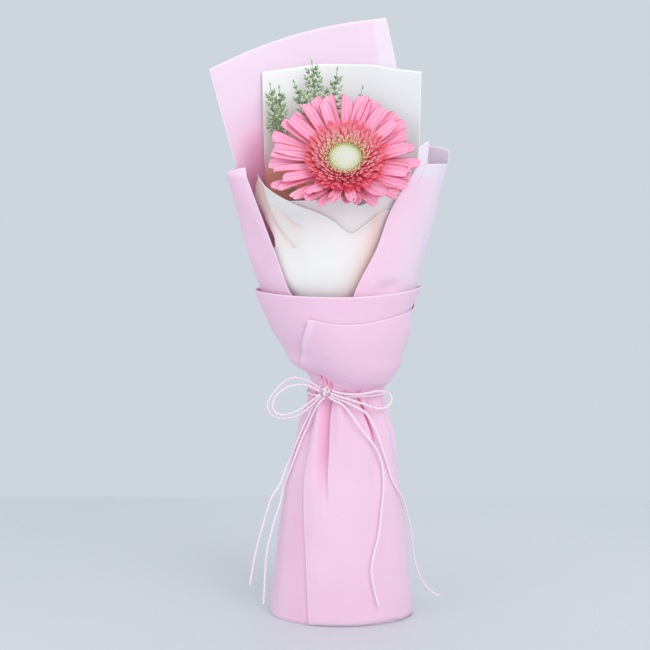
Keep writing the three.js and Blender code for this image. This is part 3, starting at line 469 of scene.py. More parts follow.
twineRoutes = {
    "waistTurn": ("twine_waist_turn", "knot", "taut", waistRoute),
    "leftLoopOuter": ("twine_left_loop_outer", "object", "hanging", [
        [-14.4, -18.4, 173.8], [-18.2, -17, 176.2], [-22, -15.2, 178.2], [-28.2, -13, 179.9],
        [-34, -12, 180.2], [-40.6, -11, 176.9], [-45.8, -10.5, 171.6], [-50.5, -10, 165.6],
        [-52.8, -10, 160.8], [-51.6, -10.5, 155.2], [-48, -11, 151.4], [-43, -12, 150.2],
        [-37.6, -13, 150.6], [-30.1, -14.4, 153], [-24.6, -15.6, 157.2], [-19, -17, 162.6],
        [-13.7, -18.2, 168.2],
    ]),
    "leftLoopInner": ("twine_left_loop_inner", "object", "hanging", [
        [-15, -19.7, 172], [-18.5, -19.4, 174], [-22.6, -18, 175.6], [-29, -16, 176],
        [-34.8, -15, 174.9], [-39.3, -14.2, 173], [-43.6, -13.6, 170], [-46.9, -13.2, 166.2],
        [-48.8, -13, 161.7], [-48.4, -13.2, 157.2], [-45.8, -13.8, 154.4], [-41.4, -14.6, 153.2],
        [-36.2, -15.6, 154.4], [-29.7, -17, 157.5], [-24, -18.2, 161.6], [-18.8, -19.6, 166],
        [-14.3, -20, 169.8],
    ]),
    "rightLoop": ("twine_right_loop", "object", "hanging", [
        [-5.9, -19.4, 172.6], [-1, -21, 171], [5, -22, 170.2], [10, -22.4, 170],
        [15, -22.6, 170.3], [20.4, -22.8, 171.2], [25, -21.8, 172], [29.5, -19, 172],
        [33.4, -15, 170.6], [36.4, -12.4, 168], [37.8, -12, 165], [36.8, -13, 161.4],
        [33, -15.5, 159], [28, -18.5, 158.8], [22, -20.8, 161], [15, -22, 163.6],
        [8, -22.8, 166], [1, -22.6, 168], [-7, -20.5, 170.6],
    ]),
    "tailLeftOuter": ("twine_tail_left_outer", "bare", "hanging", [
        [-12.2, -17, 167.7], [-17.8, -14.2, 163], [-22, -11.8, 153.8], [-26.4, -9.9, 144],
        [-31, -8.6, 132.6], [-35.6, -7, 120.5], [-40, -8, 110.5], [-43.8, -10, 100.2],
        [-47, -12, 95.4], [-50.6, -13, 89.8], [-53.6, -13.5, 80], [-56.6, -14, 69.6],
        [-59.5, -14.5, 59.8], [-62.5, -15, 47], [-64.8, -15, 34], [-66.3, -15, 25],
    ]),
    "tailLeftInner": ("twine_tail_left_inner", "bare", "hanging", [
        [-10.9, -18.5, 166.9], [-15, -17.8, 163], [-19.6, -14.6, 154], [-23.6, -12.2, 144.3],
        [-28.3, -11.2, 133.3], [-32.4, -10.6, 122], [-36.6, -9.2, 110.3], [-40.8, -6.5, 99.2],
        [-43.8, -9, 86], [-46.6, -11, 77.6], [-48.9, -12.5, 70], [-51.4, -14, 60.2],
        [-53.6, -15, 50.8], [-54.9, -15.5, 36.6], [-55.6, -16, 23.2], [-56.4, -16, 10.7],
    ]),
    "tailRightInner": ("twine_tail_right_inner", "bare", "hanging", [
        [-8.2, -18.7, 167.7], [-4, -20.2, 165], [0.9, -21.8, 163], [7.8, -22.5, 155.9],
        [13.6, -24.1, 147.4], [19.8, -25, 139.3], [25.4, -24.3, 131.8], [28.6, -23.1, 125.4],
        [30.6, -22.6, 118.7], [31.7, -23, 109.2], [31.7, -24.3, 99.1], [30.2, -26.3, 84.7],
        [28.2, -28.9, 66.6], [25.1, -31.3, 54.6], [23.1, -32.7, 42.9], [23.9, -33.1, 33.9],
        [25.6, -33, 24.9], [28.5, -32.9, 14.2],
    ]),
    "tailRightOuter": ("twine_tail_right_outer", "bare", "hanging", [
        [-6.9, -19.8, 168.6], [-1.5, -21, 166.4], [3.8, -21.4, 164.5], [11.2, -22.6, 161],
        [18, -22, 157], [24, -21.8, 147.8], [28.6, -20.8, 136.4], [33.6, -20, 120.6],
        [38.2, -18.5, 105.3], [42.1, -15.9, 97.9], [46.2, -10.3, 90], [49.3, -4, 79.5],
        [52, 0, 67], [54.2, 3, 53], [56, 5, 39.3], [58.9, 7, 28.5],
        [62.4, 9, 20], [69, 11, 12], [76, 13, 7.6],
    ]),
}

# The knot itself: one trefoil of the same twine, drawn tight, and the turn that binds it.
knotTurns = {"steps": 150, "tight": (0.86, 0.8, 0.86), "binding": (0.34, 1.02, 0.98), "lag": 0.6}
around = fullTurn(knotTurns["steps"])
trefoil = np.stack((
    (np.sin(around) + 2 * np.sin(2 * around)) / 3,
    -np.sin(3 * around),
    (np.cos(around) - 2 * np.cos(2 * around)) / 3,
), axis=1)
binding = np.stack((np.sin(around - knotTurns["lag"]), -np.cos(around), np.sin(around)), axis=1)
knotRoom = np.array(knot["radii"]) - twine["diameter"] / 2
knotPaths = (
    np.array(knot["centre"]) + trefoil * knotRoom * knotTurns["tight"],
    np.array(knot["centre"]) + binding * knotRoom * knotTurns["binding"],
)
twineKnot = standFor(twineMesh("twineKnot", *knotPaths), "twine_knot")

for name, (nodeName, farEnd, lay, route) in twineRoutes.items():
    path = smoothRoute(route, twine["ringStep"])
    piece = standFor(twineMesh("twine_" + name, path), nodeName)
    print("wrapped gerbera: twine", name, round(pathLength(path)), "mm")


paper = {"thick": 0.3, "edgeWidth": 0.7}


# Distances along a grid's rows or columns, counted from its first line.
def reachedAlong(points, axis):
    steps = np.linalg.norm(np.diff(points, axis=axis), axis=-1)
    first = np.zeros_like(np.take(steps, [0], axis=axis))
    return np.concatenate((first, np.cumsum(steps, axis=axis)), axis=axis)


# A sheet from a grid of points. It carries how near the closest free edge is, for the painted edge
# highlight, and the painted light and shade that the paper's finish reads, on the back one of its own.
def paperSheet(name, nodeName, colour, grid, paintedShading, backTone=None):
    points, faces = shellOf(grid, paper["thick"])
    across, up = reachedAlong(grid, 1), reachedAlong(grid, 0)
    nearest = np.minimum.reduce((across, across[:, -1:] - across, up, up[-1:] - up))
    edge = np.exp(-nearest / paper["edgeWidth"])
    tones = [np.clip(side + 0 * nearest, -1, 1) for side in (paintedShading, paintedShading if backTone is None else backTone)]
    smooth = np.arange(len(faces)) < 2 * (grid.shape[0] - 1) * (grid.shape[1] - 1)  # but not the rim
    attributes = {"edge": (edge, edge), "paintedShading": tones}
    piece = meshObject(name, put(points), faces, papers[colour], smooth, attributes)
    standFor(piece, nodeName)


# Heights above the base stretch to meet the sheet's own top edge.
def reachRim(height, base, top, rim):
    return np.where(height <= base, height, base + (height - base) * (rim - base) / (top - base))


# How deep a point lies beside a fold: 1 at the fold, nothing beyond the two widths.
def valley(offset, before, after):
    falling = rampUp(offset, -before, -0.4 * before)
    return np.where(offset < 0, falling, np.clip(1 - offset / after, 0, 1))


def ridge(offset, width, height):
    return height * np.clip(1 - np.abs(offset) / width, 0, 1)


def hollow(offset, width, depth):
    return depth * np.clip(1 - (offset / width) ** 2, 0, 1)


wrapSections = {
    "z": (0, 54, 101, 139, 160, 168, 173, 178, 187, 197, 213, 231, 247),
    "cx": (1, 2, 2.5, 5.5, 4.8, 4.8, 5.5, 7, 7.5, 4.5, 2, -1, 0),
    "cy": (0, 0, 0, 0, 0, 0, 0, -0.5, -1, -1.5, -2, -2, -2),
    "a": (54, 49, 43, 35, 28.6, 27, 29, 33.5, 38.5, 42.5, 49.5, 55.5, 61.5),
    "b": (37, 33, 29, 23.5, 18.8, 17.5, 22, 28, 33, 36, 39, 41.5, 43.5),
}
tieHeight = 168

outerWrap = {
    "start": 380, "end": -128, "turnStep": 1.3, "perDegree": 0.8,
    "flapZ": (0, 42, 84, 106, 150, 168, 181, 185.5, 190, 195.3, 204.5, 213.3, 223.4, 228),
    "flapAngle": (-116, -122, -130, -134, -137, -137, -136, -139, -146, -144.5, -134, -125, -116, -113.7),
    "rimAngle": (-116, -85, -40, 0, 50, 90, 180, 270, 360, 380),
    "rimZ": (228, 224, 228, 232, 240, 243, 244, 244, 246.5, 245),
    "collarBase": 187, "collarTop": 245, "rimAt": 230,
    "rumple": (3, 0.35),  # a seed, and how far the paper waves
    "pleats": {"count": 11, "depth": 1.5},
    "lift": {"height": 13, "centre": 215, "spread": 45, "full": 178, "fadeLow": 186, "fadeHigh": 235},
    # heights, then how far the sheet stands out there on its left and on its right side
    "leftOut": ((110, 146, 162, 168, 180, 187, 193, 203, 212, 221, 230, 240, 247),
                (0, 3.2, 0.9, 0.6, 0, 6, 9, 5.6, 4.5, 2.9, 1.8, 2.5, 1.5)),
    "rightOut": ((60, 110, 145, 162, 176, 184, 196), (0, -1.5, -1.5, 0, -0.5, -2.6, 0)),
    # gathers at the tie: waves round the sheet with the share of each, then their depth
    "waves": ((19, 0.5), (31, 0.32), (47, 0.18)), "seed": 4, "gather": 2.3, "puff": 2.3,
    # the crumpled rim of gathers, as angles and heights, and the short gather, as heights and angles
    "ruffle": ((222, 232, 238, 247), (182.2, 179.8, 178, 175.4)), "dent": 1.9, "stand": 0.7,
    "shortGather": ((156, 168), (199, 212)), "shortDepth": 1.4,
    "roll": 2,
    # painted shade in gathers, short gather, under the flap and in dents; painted highlight on the band;
    # painted light on the right side
    "tones": {"gather": 0.42, "short": 0.8, "shade": 0.11, "dent": 0.95, "band": 0.5, "front": 0.3},
}
# The folds that show below the tie, as heights and angles, each with its two widths and its depth,
# and the shade painted into its valley.
skirtFolds = (
    {"rest": -110, "line": ((84, 126, 139, 151, 168), (-104, -110, -113, -114, -113)),
     "widths": (18, 1.6), "depth": 3.4, "lip": 1.6, "panel": 1.2, "paintedShading": 0.28, "fade": (82, 128)},
    {"rest": -62, "line": ((112, 144.5, 150, 158.5, 167), (-51, -59, -61.3, -64.5, -71.3)),
     "widths": (4, 2.2), "depth": 3.4, "lip": 0.5, "panel": 0, "paintedShading": 0.85, "fade": (122, 148)},
)
foldCrease = {"rest": -36, "line": ((0, 40, 76, 104, 130), (-36, -37, -36.3, -34.2, -36))}


def outerWrapGrid():
    start, end = outerWrap["start"], outerWrap["end"]
    creases = [*skirtFolds, foldCrease]
    nearFolds = [(fold["rest"] - 5, fold["rest"] + 5, 41) for fold in skirtFolds]
    resting = spansOf((end, start, 440), (end, end + 10, 24), *nearFolds)
    rows = spansOf((0, 140, 50), (140, 158, 15), (158, 190, 58), (190, outerWrap["collarTop"], 40))

    # the columns bend so that they run along the folds and the flap's edge
    def anglesAt(z):
        edge = flow(z, outerWrap["flapZ"], outerWrap["flapAngle"])
        angles = [flow(z, *crease["line"]) for crease in creases]
        rests = [crease["rest"] for crease in creases]
        return flow(resting, [end, *rests, 0, start], [edge, *angles, 0, start])

    # a column's rim goes by the column's angle near the top
    rim = flow(anglesAt(outerWrap["rimAt"]), outerWrap["rimAngle"], outerWrap["rimZ"])
    z = reachRim(rows[:, None], outerWrap["collarBase"], outerWrap["collarTop"], rim)
    return z, np.array([anglesAt(height) for height in z[:, 0]])


# Tight gathers that spread from the tie, and the puffs of paper beside it.
def tieGathers(angle, z):
    fromTie = z - tieHeight
    near = np.exp(-np.abs(fromTie) / np.where(fromTie < 0, 12, 5))
    draw = np.random.default_rng(outerWrap["seed"])
    waves = 0
    for count, share in outerWrap["waves"]:
        phase = draw.uniform(0, 2 * math.pi)
        waves = waves + share * np.abs(np.sin(np.radians(angle) * count / 2 + phase + 0.02 * fromTie))
    gathered = near * (1 - waves)
    bound = 1 - 0.65 * bell(fromTie, 1.8)  # the twine holds the gathers flat
    puffed = bell(np.abs(fromTie) - 3, 1.7) * bell(angle % 360 - 184, 24)
    # painted shade in the gathers by the tie
    paintedShading = outerWrap["tones"]["gather"] * gathered * (fromTie < 8)
    return outerWrap["puff"] * puffed - outerWrap["gather"] * gathered * bound, paintedShading


# The folds are pressed through both turns. Their lips also slide round, on the turn that shows.
def pressedFolds(signed, z, outside):
    offset, paintedShading, slid = 0 * z, 0 * z, 0 * z
    for fold in skirtFolds:
        beside = signed - flow(z, *fold["line"])
        strength = rampUp(z, *fold["fade"]) * (1 - 0.55 * rampUp(z, 158, 168)) * rampUp(z, 174, 168)
        deep = strength * valley(beside, *fold["widths"])
        offset += fold["panel"] * strength * trail(beside, 12) - fold["depth"] * deep
        # painted shade in each fold's valley
        paintedShading += fold["paintedShading"] * deep
        slid -= fold["lip"] * strength * trail(beside, 1.5) * outside
    return offset, paintedShading, slid


# Broad flat panels below the tie, with a crease between the front and the right side.
def flatPanels(signed, turned, z):
    low = between(z, -10, 50, 100, 140)
    crease = ridge(signed - flow(z, *foldCrease["line"]), 26, 1.7) * (0.35 + 0.65 * low)
    panels = hollow(signed + 76, 34, 1.3) + hollow(turned - 216, 26, 1.4)
    return crease * rampUp(z, 135, 105) - low * panels


# The crumpled rim that runs down to the knot on the left, and the short deep gather by the knot.
def crumpledRim(turned, z, outside):
    ruffle = bell(z - flow(turned, *outerWrap["ruffle"]), 2.5) * between(turned, 217, 223, 245, 250)
    dents = ruffle * (0.5 + 0.5 * np.sin(np.radians(turned) * 50 + 0.5 * z))
    short = bell(turned - flow(z, *outerWrap["shortGather"]), 2.2) * between(z, 155, 160, 168, 172)
    offset = outerWrap["stand"] * ruffle * outside - outerWrap["dent"] * dents
    # painted shade in the short gather and in the ruffle's dents
    paintedShading = outerWrap["tones"]["short"] * short + outerWrap["tones"]["dent"] * dents
    return offset - outerWrap["shortDepth"] * short, paintedShading


# The flap's free edge stands off and rolls a little, with a painted highlight band along the roll.
# It casts a painted shadow on the under turn.
def flapEdge(angle, z, outside):
    fromFlap = (angle - flow(z[:, :1], outerWrap["flapZ"], outerWrap["flapAngle"])) * outerWrap["perDegree"]
    fromUnder = 360 * outerWrap["perDegree"] - fromFlap
    rolled = bell(fromFlap, 4.5) * rampUp(z, 178, 192) * (1 - 0.7 * rampUp(z, 216, 229))
    band = bell(fromFlap - 2.2, 1.5) * between(z, 196, 208, 224, 230) * outside
    shade = rampUp(fromUnder, 22, 8) * (fromUnder > -3) * rampUp(z, 120, 96)
    paintedShading = outerWrap["tones"]["shade"] * shade - outerWrap["tones"]["band"] * band
    return outerWrap["roll"] * rolled * outside, paintedShading


def outerWrapPoints():
    z, angle = outerWrapGrid()
    turned = angle % 360
    signed = (angle + 180) % 360 - 180
    outside = rampUp(angle, 250, 235)  # 1 on the turn that shows
    # the collar hangs lower on the left, and the sheet stands out further on its sides
    lift = outerWrap["lift"]
    raised = between(z, tieHeight, lift["full"], lift["fadeLow"], lift["fadeHigh"])
    raised = lift["height"] * raised * bell(turned - lift["centre"], lift["spread"])
    section = sectionAt(wrapSections, z - raised)
    leftSide = bell(turned - np.where(z > tieHeight, 192, 178), np.where(z > tieHeight, 34, 18))
    offset = flow(z, *outerWrap["leftOut"]) * leftSide + flow(z, *outerWrap["rightOut"]) * bell(signed, 28)
    offset -= outerWrap["turnStep"] * (angle - outerWrap["flapAngle"][0]) / 360
    pleats = outerWrap["pleats"]
    folded = pleats["depth"] * np.cos(pleats["count"] * np.radians(angle))
    offset += folded * between(z, 95, 150, 160, tieHeight)
    waves = softWaves(turned * outerWrap["perDegree"], z, *outerWrap["rumple"])
    offset += waves * rampUp(np.abs(z - tieHeight), 6, 30) * rampUp(z, 0, 12)
    gathers, gatherTone = tieGathers(angle, z)
    folds, foldTone, slid = pressedFolds(signed, z, outside)
    rim, rimTone = crumpledRim(turned, z, outside)
    edge, edgeTone = flapEdge(angle, z, outside)
    offset += gathers + folds + flatPanels(signed, turned, z) + rim + edge
    # painted shade from the gathers, folds, rim and flap, and painted light on the right side
    front = between(signed, -60, 10, 60, 120)
    paintedShading = gatherTone + foldTone + rimTone + edgeTone - outerWrap["tones"]["front"] * front
    section["crease"] = 1 + 0.16 * rampUp(z, 210, 244)
    # the foot's cut edge rises a little in front, up to a step at the crease
    stepped = np.clip((signed + 75) / 35, 0, 1) * (signed < -39)
    risen = 1.1 * between(signed, -125, -100, -20, 10) + 1.6 * stepped
    return onSection(section, angle + slid, z + risen * outside * rampUp(z, 25, 0), offset), paintedShading


paperSheet("pinkOuterWrap", "pink_outer_wrap", "pink", *outerWrapPoints())
print("wrapped gerbera: outer wrap")

bagSections = {
    "z": (168, 178, 190, 212, 235, 250, 290, 332, 400, 440),
    "cx": (4.8, 4.8, 4, 2.5, 0, -1, -1.5, -2, -3, -3),
    "cy": (0, 0, -0.5, -1.5, -3, -3, 2, 8, 18, 24),
    "a": (23.6, 24, 29.5, 42, 53.5, 58, 69, 80.5, 98, 108),
    "b": (14.1, 14.7, 20, 29, 36, 37, 34, 31, 29, 28),
    "ringShare": (1, 0.93, 0.75, 0.3, 0, 0, 0, 0, 0, 0),
    "crease": (1, 1, 1, 1.1, 1.25, 1.35, 1.4, 1.4, 1.4, 1.4),
}
stemRing = {"halfWidth": 3.2 + 2 * 1.1 + 2.5 * 0.35, "halfDepth": 3.2 + 0.35, "growth": 1.15, "first": 0.4}
looseStep = 2.2
innerBottom = 148
mouthBase = 238


# The oval of a layer. Layer 0 lies against the stems, and the sections give the outermost.
def nestedSection(sections, layer, outermost, z):
    section = sectionAt(sections, z)
    share = section.pop("ringShare")
    grown = stemRing["first"] + layer * stemRing["growth"]
    inset = (outermost - layer) * looseStep
    section["a"] = mix(section["a"] - inset, stemRing["halfWidth"] + grown, share)
    section["b"] = mix(section["b"] - inset, stemRing["halfDepth"] + grown, share)
    return section


# A sheet's shares across and its heights, then its left and right edge at each height.
def sheetGrid(sheet, *spans):
    across = np.linspace(0, 1, sheet["columns"]) ** sheet.get("bunched", 1)
    u, height = np.meshgrid(across, spansOf(*spans))
    rim = flow(u, sheet["rimU"], sheet["rimZ"])
    z = reachRim(height, sheet.get("base", mouthBase), sheet["top"], rim)
    left, right = (flow(z, sheet["edgeZ"], sheet[side]) for side in ("left", "right"))
    return u, z, left, right


sideWrap = {
    "layer": 3, "columns": 311, "perDegree": 1.1, "top": 335, "rumple": (8, 0.8),
    "edgeZ": (148, 235, 246, 276, 300, 333),
    "left": (264, 240, 232, 225, 220, 212),
    "right": (-84, -82, -79, -66, -60, -46),
    "rimU": (0, 0.028, 0.034, 0.1, 0.17, 0.23, 0.32, 0.5, 0.78, 0.87, 1),
    "rimZ": (347, 351, 335, 334.5, 334, 344, 346, 337, 331, 328, 332),
    "bendZ": 325.5, "bend": (0.25, 0.75, 0),
    "dent": {"angle": -52, "z": 249, "depth": 2.2},
    "tones": {"thin": 0.7, "corner": 0.7, "bend": 0.3, "dent": 0.22, "edge": 0.35},
}


def sideWrapPoints():
    u, z, left, right = sheetGrid(sideWrap, (innerBottom, 235, 40), (mouthBase, sideWrap["top"], 80))
    angle = mix(right, left, u)
    section = nestedSection(bagSections, sideWrap["layer"], sideWrap["layer"], z)
    # a faint crease down each side, where the sheet was folded flat
    creases = ridge(angle - 2, 16, 1.2) + ridge(angle - 181, 16, 1.2)
    waves = softWaves(angle * sideWrap["perDegree"], z, *sideWrap["rumple"])
    offset = (waves + creases) * rampUp(z, 236, 262)
    # the dent just above the collar on the right
    dent = sideWrap["dent"]
    offset -= dent["depth"] * bell(angle - dent["angle"], 10) * bell(z - dent["z"], 4.5)
    offset -= 2.4 * bell(angle, 26) * rampUp(z, 238, 262)
    # the left panel's top is bent inwards along a short line
    bent = np.clip(z - sideWrap["bendZ"], 0, 20) * rampUp(angle, 176, 186)
    points = onSection(section, angle, z, offset) + bent[..., None] * sideWrap["bend"]
    # painted light where one layer by the outer right edge lets light through, on the right corner's
    # roll, on the bent top and by the left edge; painted shade in the dent
    tones = sideWrap["tones"]
    fromSide = points[..., 0] - section["cx"] - section["a"] - offset
    paintedShading = -tones["thin"] * bell(fromSide, 22) * (np.abs(angle) < 90)
    paintedShading -= tones["corner"] * rampUp(z, 322, 330) * rampUp(u, 0.45, 0.3) + tones["bend"] * rampUp(bent, 0, 2)
    paintedShading += tones["dent"] * bell(angle - dent["angle"], 8) * bell(z - dent["z"] + 1, 3)
    paintedShading -= tones["edge"] * bell(angle - left, 5) * rampUp(z, 250, 300)
    return points, paintedShading


paperSheet("pinkSideWrap", "pink_side_wrap", "pink", *sideWrapPoints())
print("wrapped gerbera: side wrap")

pinkBack = {
    "layer": 2, "top": 425, "columns": 201,
    "edgeZ": (262, 330, 402, 440), "left": (-56, -75, -95, -104), "right": (50, 50, 42, 34),
    "rimU": (0, 0.25, 0.5, 0.75, 1), "rimZ": (438.5, 434, 426.5, 415.5, 401.6),
    "rumple": (15, 0.7), "fold": ((300, 402, 440), (42, 29, 24)), "foldIn": 0.3,
}
whiteBack = {
    "layer": 0.6, "top": 405, "columns": 201,
    "edgeZ": (262, 300, 322, 345, 405), "left": (-26, -47, -54, -55.5, -57), "right": (46, 52, 55, 58, 60),
    "rimU": (0, 0.16, 0.31, 0.6, 0.8, 1), "rimZ": (399.5, 401.5, 404.4, 405.1, 402.4, 399.3),
    "rumple": (21, 0.7),
}


def backSheetPoints(sheet):
    u, z, left, right = sheetGrid(sheet, (innerBottom, 236, 34), (mouthBase, sheet["top"], 90))
    section = nestedSection(bagSections, sheet["layer"], sideWrap["layer"], z)
    lowest = section["cx"] - section["a"] * 0.97
    highest = section["cx"] + section["a"] * 0.97
    gathered = rampUp(z, 262, 215)
    left = np.maximum(mix(left, lowest, gathered), lowest)
    right = np.minimum(mix(right, highest, gathered), highest)
    x = mix(right, left, u)
    angle = np.arccos(np.clip((x - section["cx"]) / section["a"], -1, 1))
    points = onSection(section, np.degrees(angle), z)
    points[..., 1] += softWaves(x, z, *sheet["rumple"]) * rampUp(z, 240, 290)
    return points, x, z


points, x, z = backSheetPoints(pinkBack)
beyondFold = np.clip(x - flow(z, *pinkBack["fold"]), 0, 30) * rampUp(z, 320, 400)
points[..., 1] += pinkBack["foldIn"] * beyondFold
# painted light all over the free single layer, more on the strip beyond the fold, and a little on
# the back; painted shade towards the flower and low down
paintedShading = 0.95 * rampUp(x, -90, -62) * rampUp(z, 392, 340) + 0.35 * rampUp(z, 345, 305)
paintedShading -= 0.6 + 0.3 * rampUp(beyondFold, 0, 1)
paperSheet("pinkBackSheet", "pink_back_sheet", "pink", points, paintedShading, -0.2)
points, x, z = backSheetPoints(whiteBack)
# painted shade: rosy low on the left, cool grey on the right half, and a warm terracotta shade with the
# flower's reflected light lowest on the left
paintedShading = 0.25 * rampUp(x, 10, -40) * rampUp(z, 395, 340) - 0.6 * rampUp(x, -20, 30)
paintedShading += 0.9 * rampUp(z, 342, 320) * rampUp(x, -8, -30)
paperSheet("whiteBackSheet", "white_back_sheet", "white", points, paintedShading, 0)
print("wrapped gerbera: back sheets")

whiteSections = {
    "z": (168, 190, 212, 235, 250, 276, 300, 330),
    "cx": (4.8, 4, 2, -4, -5, -5, -4, -2),
    "cy": (0, -0.5, -1.5, -3, -3, -1, 1, 3),
    "a": (14, 18, 28, 39, 43.5, 49, 54, 59),
    "b": (9, 12, 19, 28, 31.5, 31.5, 31, 31),
    "ringShare": (1, 0.8, 0.3, 0, 0, 0, 0, 0),
}
whiteSheets = {
    "whiteInnerWrap": {
        "node": "white_inner_wrap", "layer": 0, "base": 262, "top": 315, "rumple": (31, 0.4),
        "columns": 261, "bunched": 1.15,
        "edgeZ": (148, 262, 276, 290, 300, 316),
        "left": (180, 244, 242, 220, 204, 198), "right": (356, 356, 356, 358, 360, 360),
        "rimU": (0, 0.23, 0.43, 0.48, 0.55, 0.67, 1),
        "rimZ": (309, 310, 312.6, 314.3, 307, 314.5, 326),
    },
    "whiteFrontWrap": {
        "node": "white_front_wrap", "layer": 1, "base": 278, "top": 300, "rumple": (32, 0.4),
        "columns": 261, "bunched": 1.15,
        "edgeZ": (148, 235, 246, 263, 275, 300, 330),
        "left": (190, 224, 218, 202, 192, 184, 186), "right": (350, 346, 345, 343, 341, 338, 336),
        "rimU": (0, 0.12, 0.25, 0.36, 0.47, 0.54, 0.64, 0.71, 0.77, 0.81, 1),
        "rimZ": (327, 321, 313.7, 307.5, 302.5, 297.5, 287.5, 292.5, 298.5, 302, 306),
        # the slit in its left edge: how far the edge steps back above it, and the line it curls from
        "notchZ": (275, 276.4, 282.6, 290, 295.6, 303, 312, 321, 328),
        "notchTurn": (0, 22, 24, 18, 12, 4, -4, -4, 0),
        "notchReach": 0.35,
        "curlZ": (276.4, 286.2, 296.1, 304, 312, 326), "curlFrom": (233, 220.6, 208, 201.7, 196, 191),
    },
}
outerWhiteLayer = 2
whitePerDegree = {"edge": 0.8, "curl": 0.85}
# where the side wrap's two front edges cross the white, as heights and distances to the side
rightPanelLine = ((230, 244, 264, 285, 298, 310), (4, 10.5, 17.6, 23.3, 25, 30))
leftPanelLine = ((236, 243, 276), (-33, -36, -50))
# the long crease in the front sheet, as angles and heights
frontCrease = ((212.8, 220.5, 235.4, 249.3), (304.1, 302.3, 295, 289))


# The slit in the left edge. Above it a strip beside the edge turns out of a valley, and below it
# the corner stands proud.
def slitEdge(fromEdge, fromValley, z):
    above = between(z, 275.6, 276.6, 318, 327)
    below = rampUp(z, 276.2, 275) * rampUp(z, 258, 270)
    curled = np.clip(fromValley, 0, 50)
    offset = np.minimum(curled, 14) * (0.02 + 0.28 * rampUp(z, 296, 312)) * above
    offset += 0.9 * np.exp(-fromEdge / 7) * below - 2.6 * np.exp(-np.abs(fromValley) / 2.5) * above
    # painted shade on the curled strip, deepest by the valley and higher up
    shade = 0.1 + 0.3 * np.exp(-curled / 4) + 0.2 * rampUp(z, 288, 312)
    return offset, shade * rampUp(curled, 0, 1) * above


# The long crease has painted shade below it, outside the curled strip, and painted light above.
def longCrease(angle, fromValley, z):
    under = flow(angle, *frontCrease) - z
    inside = between(angle, 208, 216, 236, 250)
    paler = 0.5 * (under <= 0) * rampUp(-under, 14, 0)
    paintedShading = 0.3 * trail(under, 9) * rampUp(fromValley, 1.5, 0) - paler
    return (0.9 * trail(under, 7) - ridge(under, 2.5, 0.9)) * inside, paintedShading * inside


# Pink light by the right panel's edge, and a swelling under the left one's.
def panelEdges(x, z):
    swelling = 3.4 * bell(x - flow(z, *leftPanelLine), 9) * between(z, 238, 256, 274, 290)
    return swelling, 0.42 * np.exp(-np.abs(x - flow(z, *rightPanelLine)) / 7) * rampUp(z, 312, 296)


def whiteSheetPoints(sheet):
    spans = ((innerBottom, 258, 40), (258, 274.8, 16), (274.9, 276.6, 13), (276.8, sheet["top"], 60))
    u, z, left, right = sheetGrid(sheet, *spans)
    section = nestedSection(whiteSections, sheet["layer"], outerWhiteLayer, z)
    angle = mix(left, right, u)
    offset = softWaves(angle * whitePerDegree["edge"], z, *sheet["rumple"]) * rampUp(z, 240, 275)
    offset += 0.9 * bell(flow(u, sheet["rimU"], sheet["rimZ"]) - z, 2.5)  # it flares at its rim
    paintedShading = 0 * z
    if "notchZ" in sheet:
        cut = flow(z, sheet["notchZ"], sheet["notchTurn"])
        angle = angle + cut * np.clip(1 - u / sheet["notchReach"], 0, 1)
        fromEdge = (angle - left - cut) * whitePerDegree["edge"]
        fromValley = (flow(z, sheet["curlZ"], sheet["curlFrom"]) - angle) * whitePerDegree["curl"]
        x = section["cx"] + section["a"] * np.cos(np.radians(angle))
        slit, slitTone = slitEdge(fromEdge, fromValley, z)
        crease, creaseTone = longCrease(angle, fromValley, z)
        swelling, light = panelEdges(x, z)
        offset += slit + crease + swelling
        paintedShading += slitTone + creaseTone + light
    return onSection(section, angle, z, offset), paintedShading


for name, sheet in whiteSheets.items():
    paperSheet(name, sheet["node"], "white", *whiteSheetPoints(sheet))
print("wrapped gerbera: white sheets")

bloom = {"centre": (3.4, -18, 339), "lookUp": 39, "radius": 54}
lookUp = math.radians(bloom["lookUp"])
faceAxes = np.array((
    (1, 0, 0),
    (0, math.sin(lookUp), math.cos(lookUp)),
    (0, -math.cos(lookUp), math.sin(lookUp)),
))


# From the flower's own axes (third axis out of its face) to the bouquet's.
def onFace(points):
    return np.asarray(points) @ faceAxes + np.array(bloom["centre"])


# Turned round the flower's axis.
def swung(x, y, zed, angle):
    cosine, sine = np.cos(angle), np.sin(angle)
    return np.stack((x * cosine - y * sine, x * sine + y * cosine, zed), axis=-1)


# The distances out and up of a blade's rows, walked from its root along the headings.
def walked(root, height, length, heading):
    step = length / (len(heading) - 1)
    out = root + np.concatenate(([0], np.cumsum(step * np.cos(heading[1:]))))
    up = height + np.concatenate(([0], np.cumsum(step * np.sin(heading[1:]))))
    return out[:, None], up[:, None]


# A form turned on the flower's axis, from pairs of radius and height.
def turnedInto(heap, profile, sides, capped=True, **values):
    around = fullTurn(sides)
    rings = [swung(radius, 0, height + 0 * around, around) for radius, height in profile]
    heap.add(onFace(np.vstack(rings)), ringFaces(len(profile), sides, capped), **values)


petals = {
    "root": 11.5, "rows": 30, "columns": 17, "thick": 0.42,
    "widthAt": (0, 0.15, 0.3, 0.5, 0.75, 0.9, 0.97, 1),
    "halfWidth": (1.8, 3.0, 4.3, 4.9, 5.1, 5.0, 4.7, 4.1),
    "lift": {"least": 4, "down": 35, "up": 5, "nod": 6},  # degrees, most for the petals that point down
    "layers": (
        {"count": 16, "turn": 0, "height": -3.4, "reach": 1.0, "seed": 12},
        {"count": 16, "turn": 0.5, "height": -1.6, "reach": 0.97, "seed": 23},
        {"count": 11, "turn": 0.3, "height": -0.5, "reach": 0.9, "seed": 38},
    ),
}


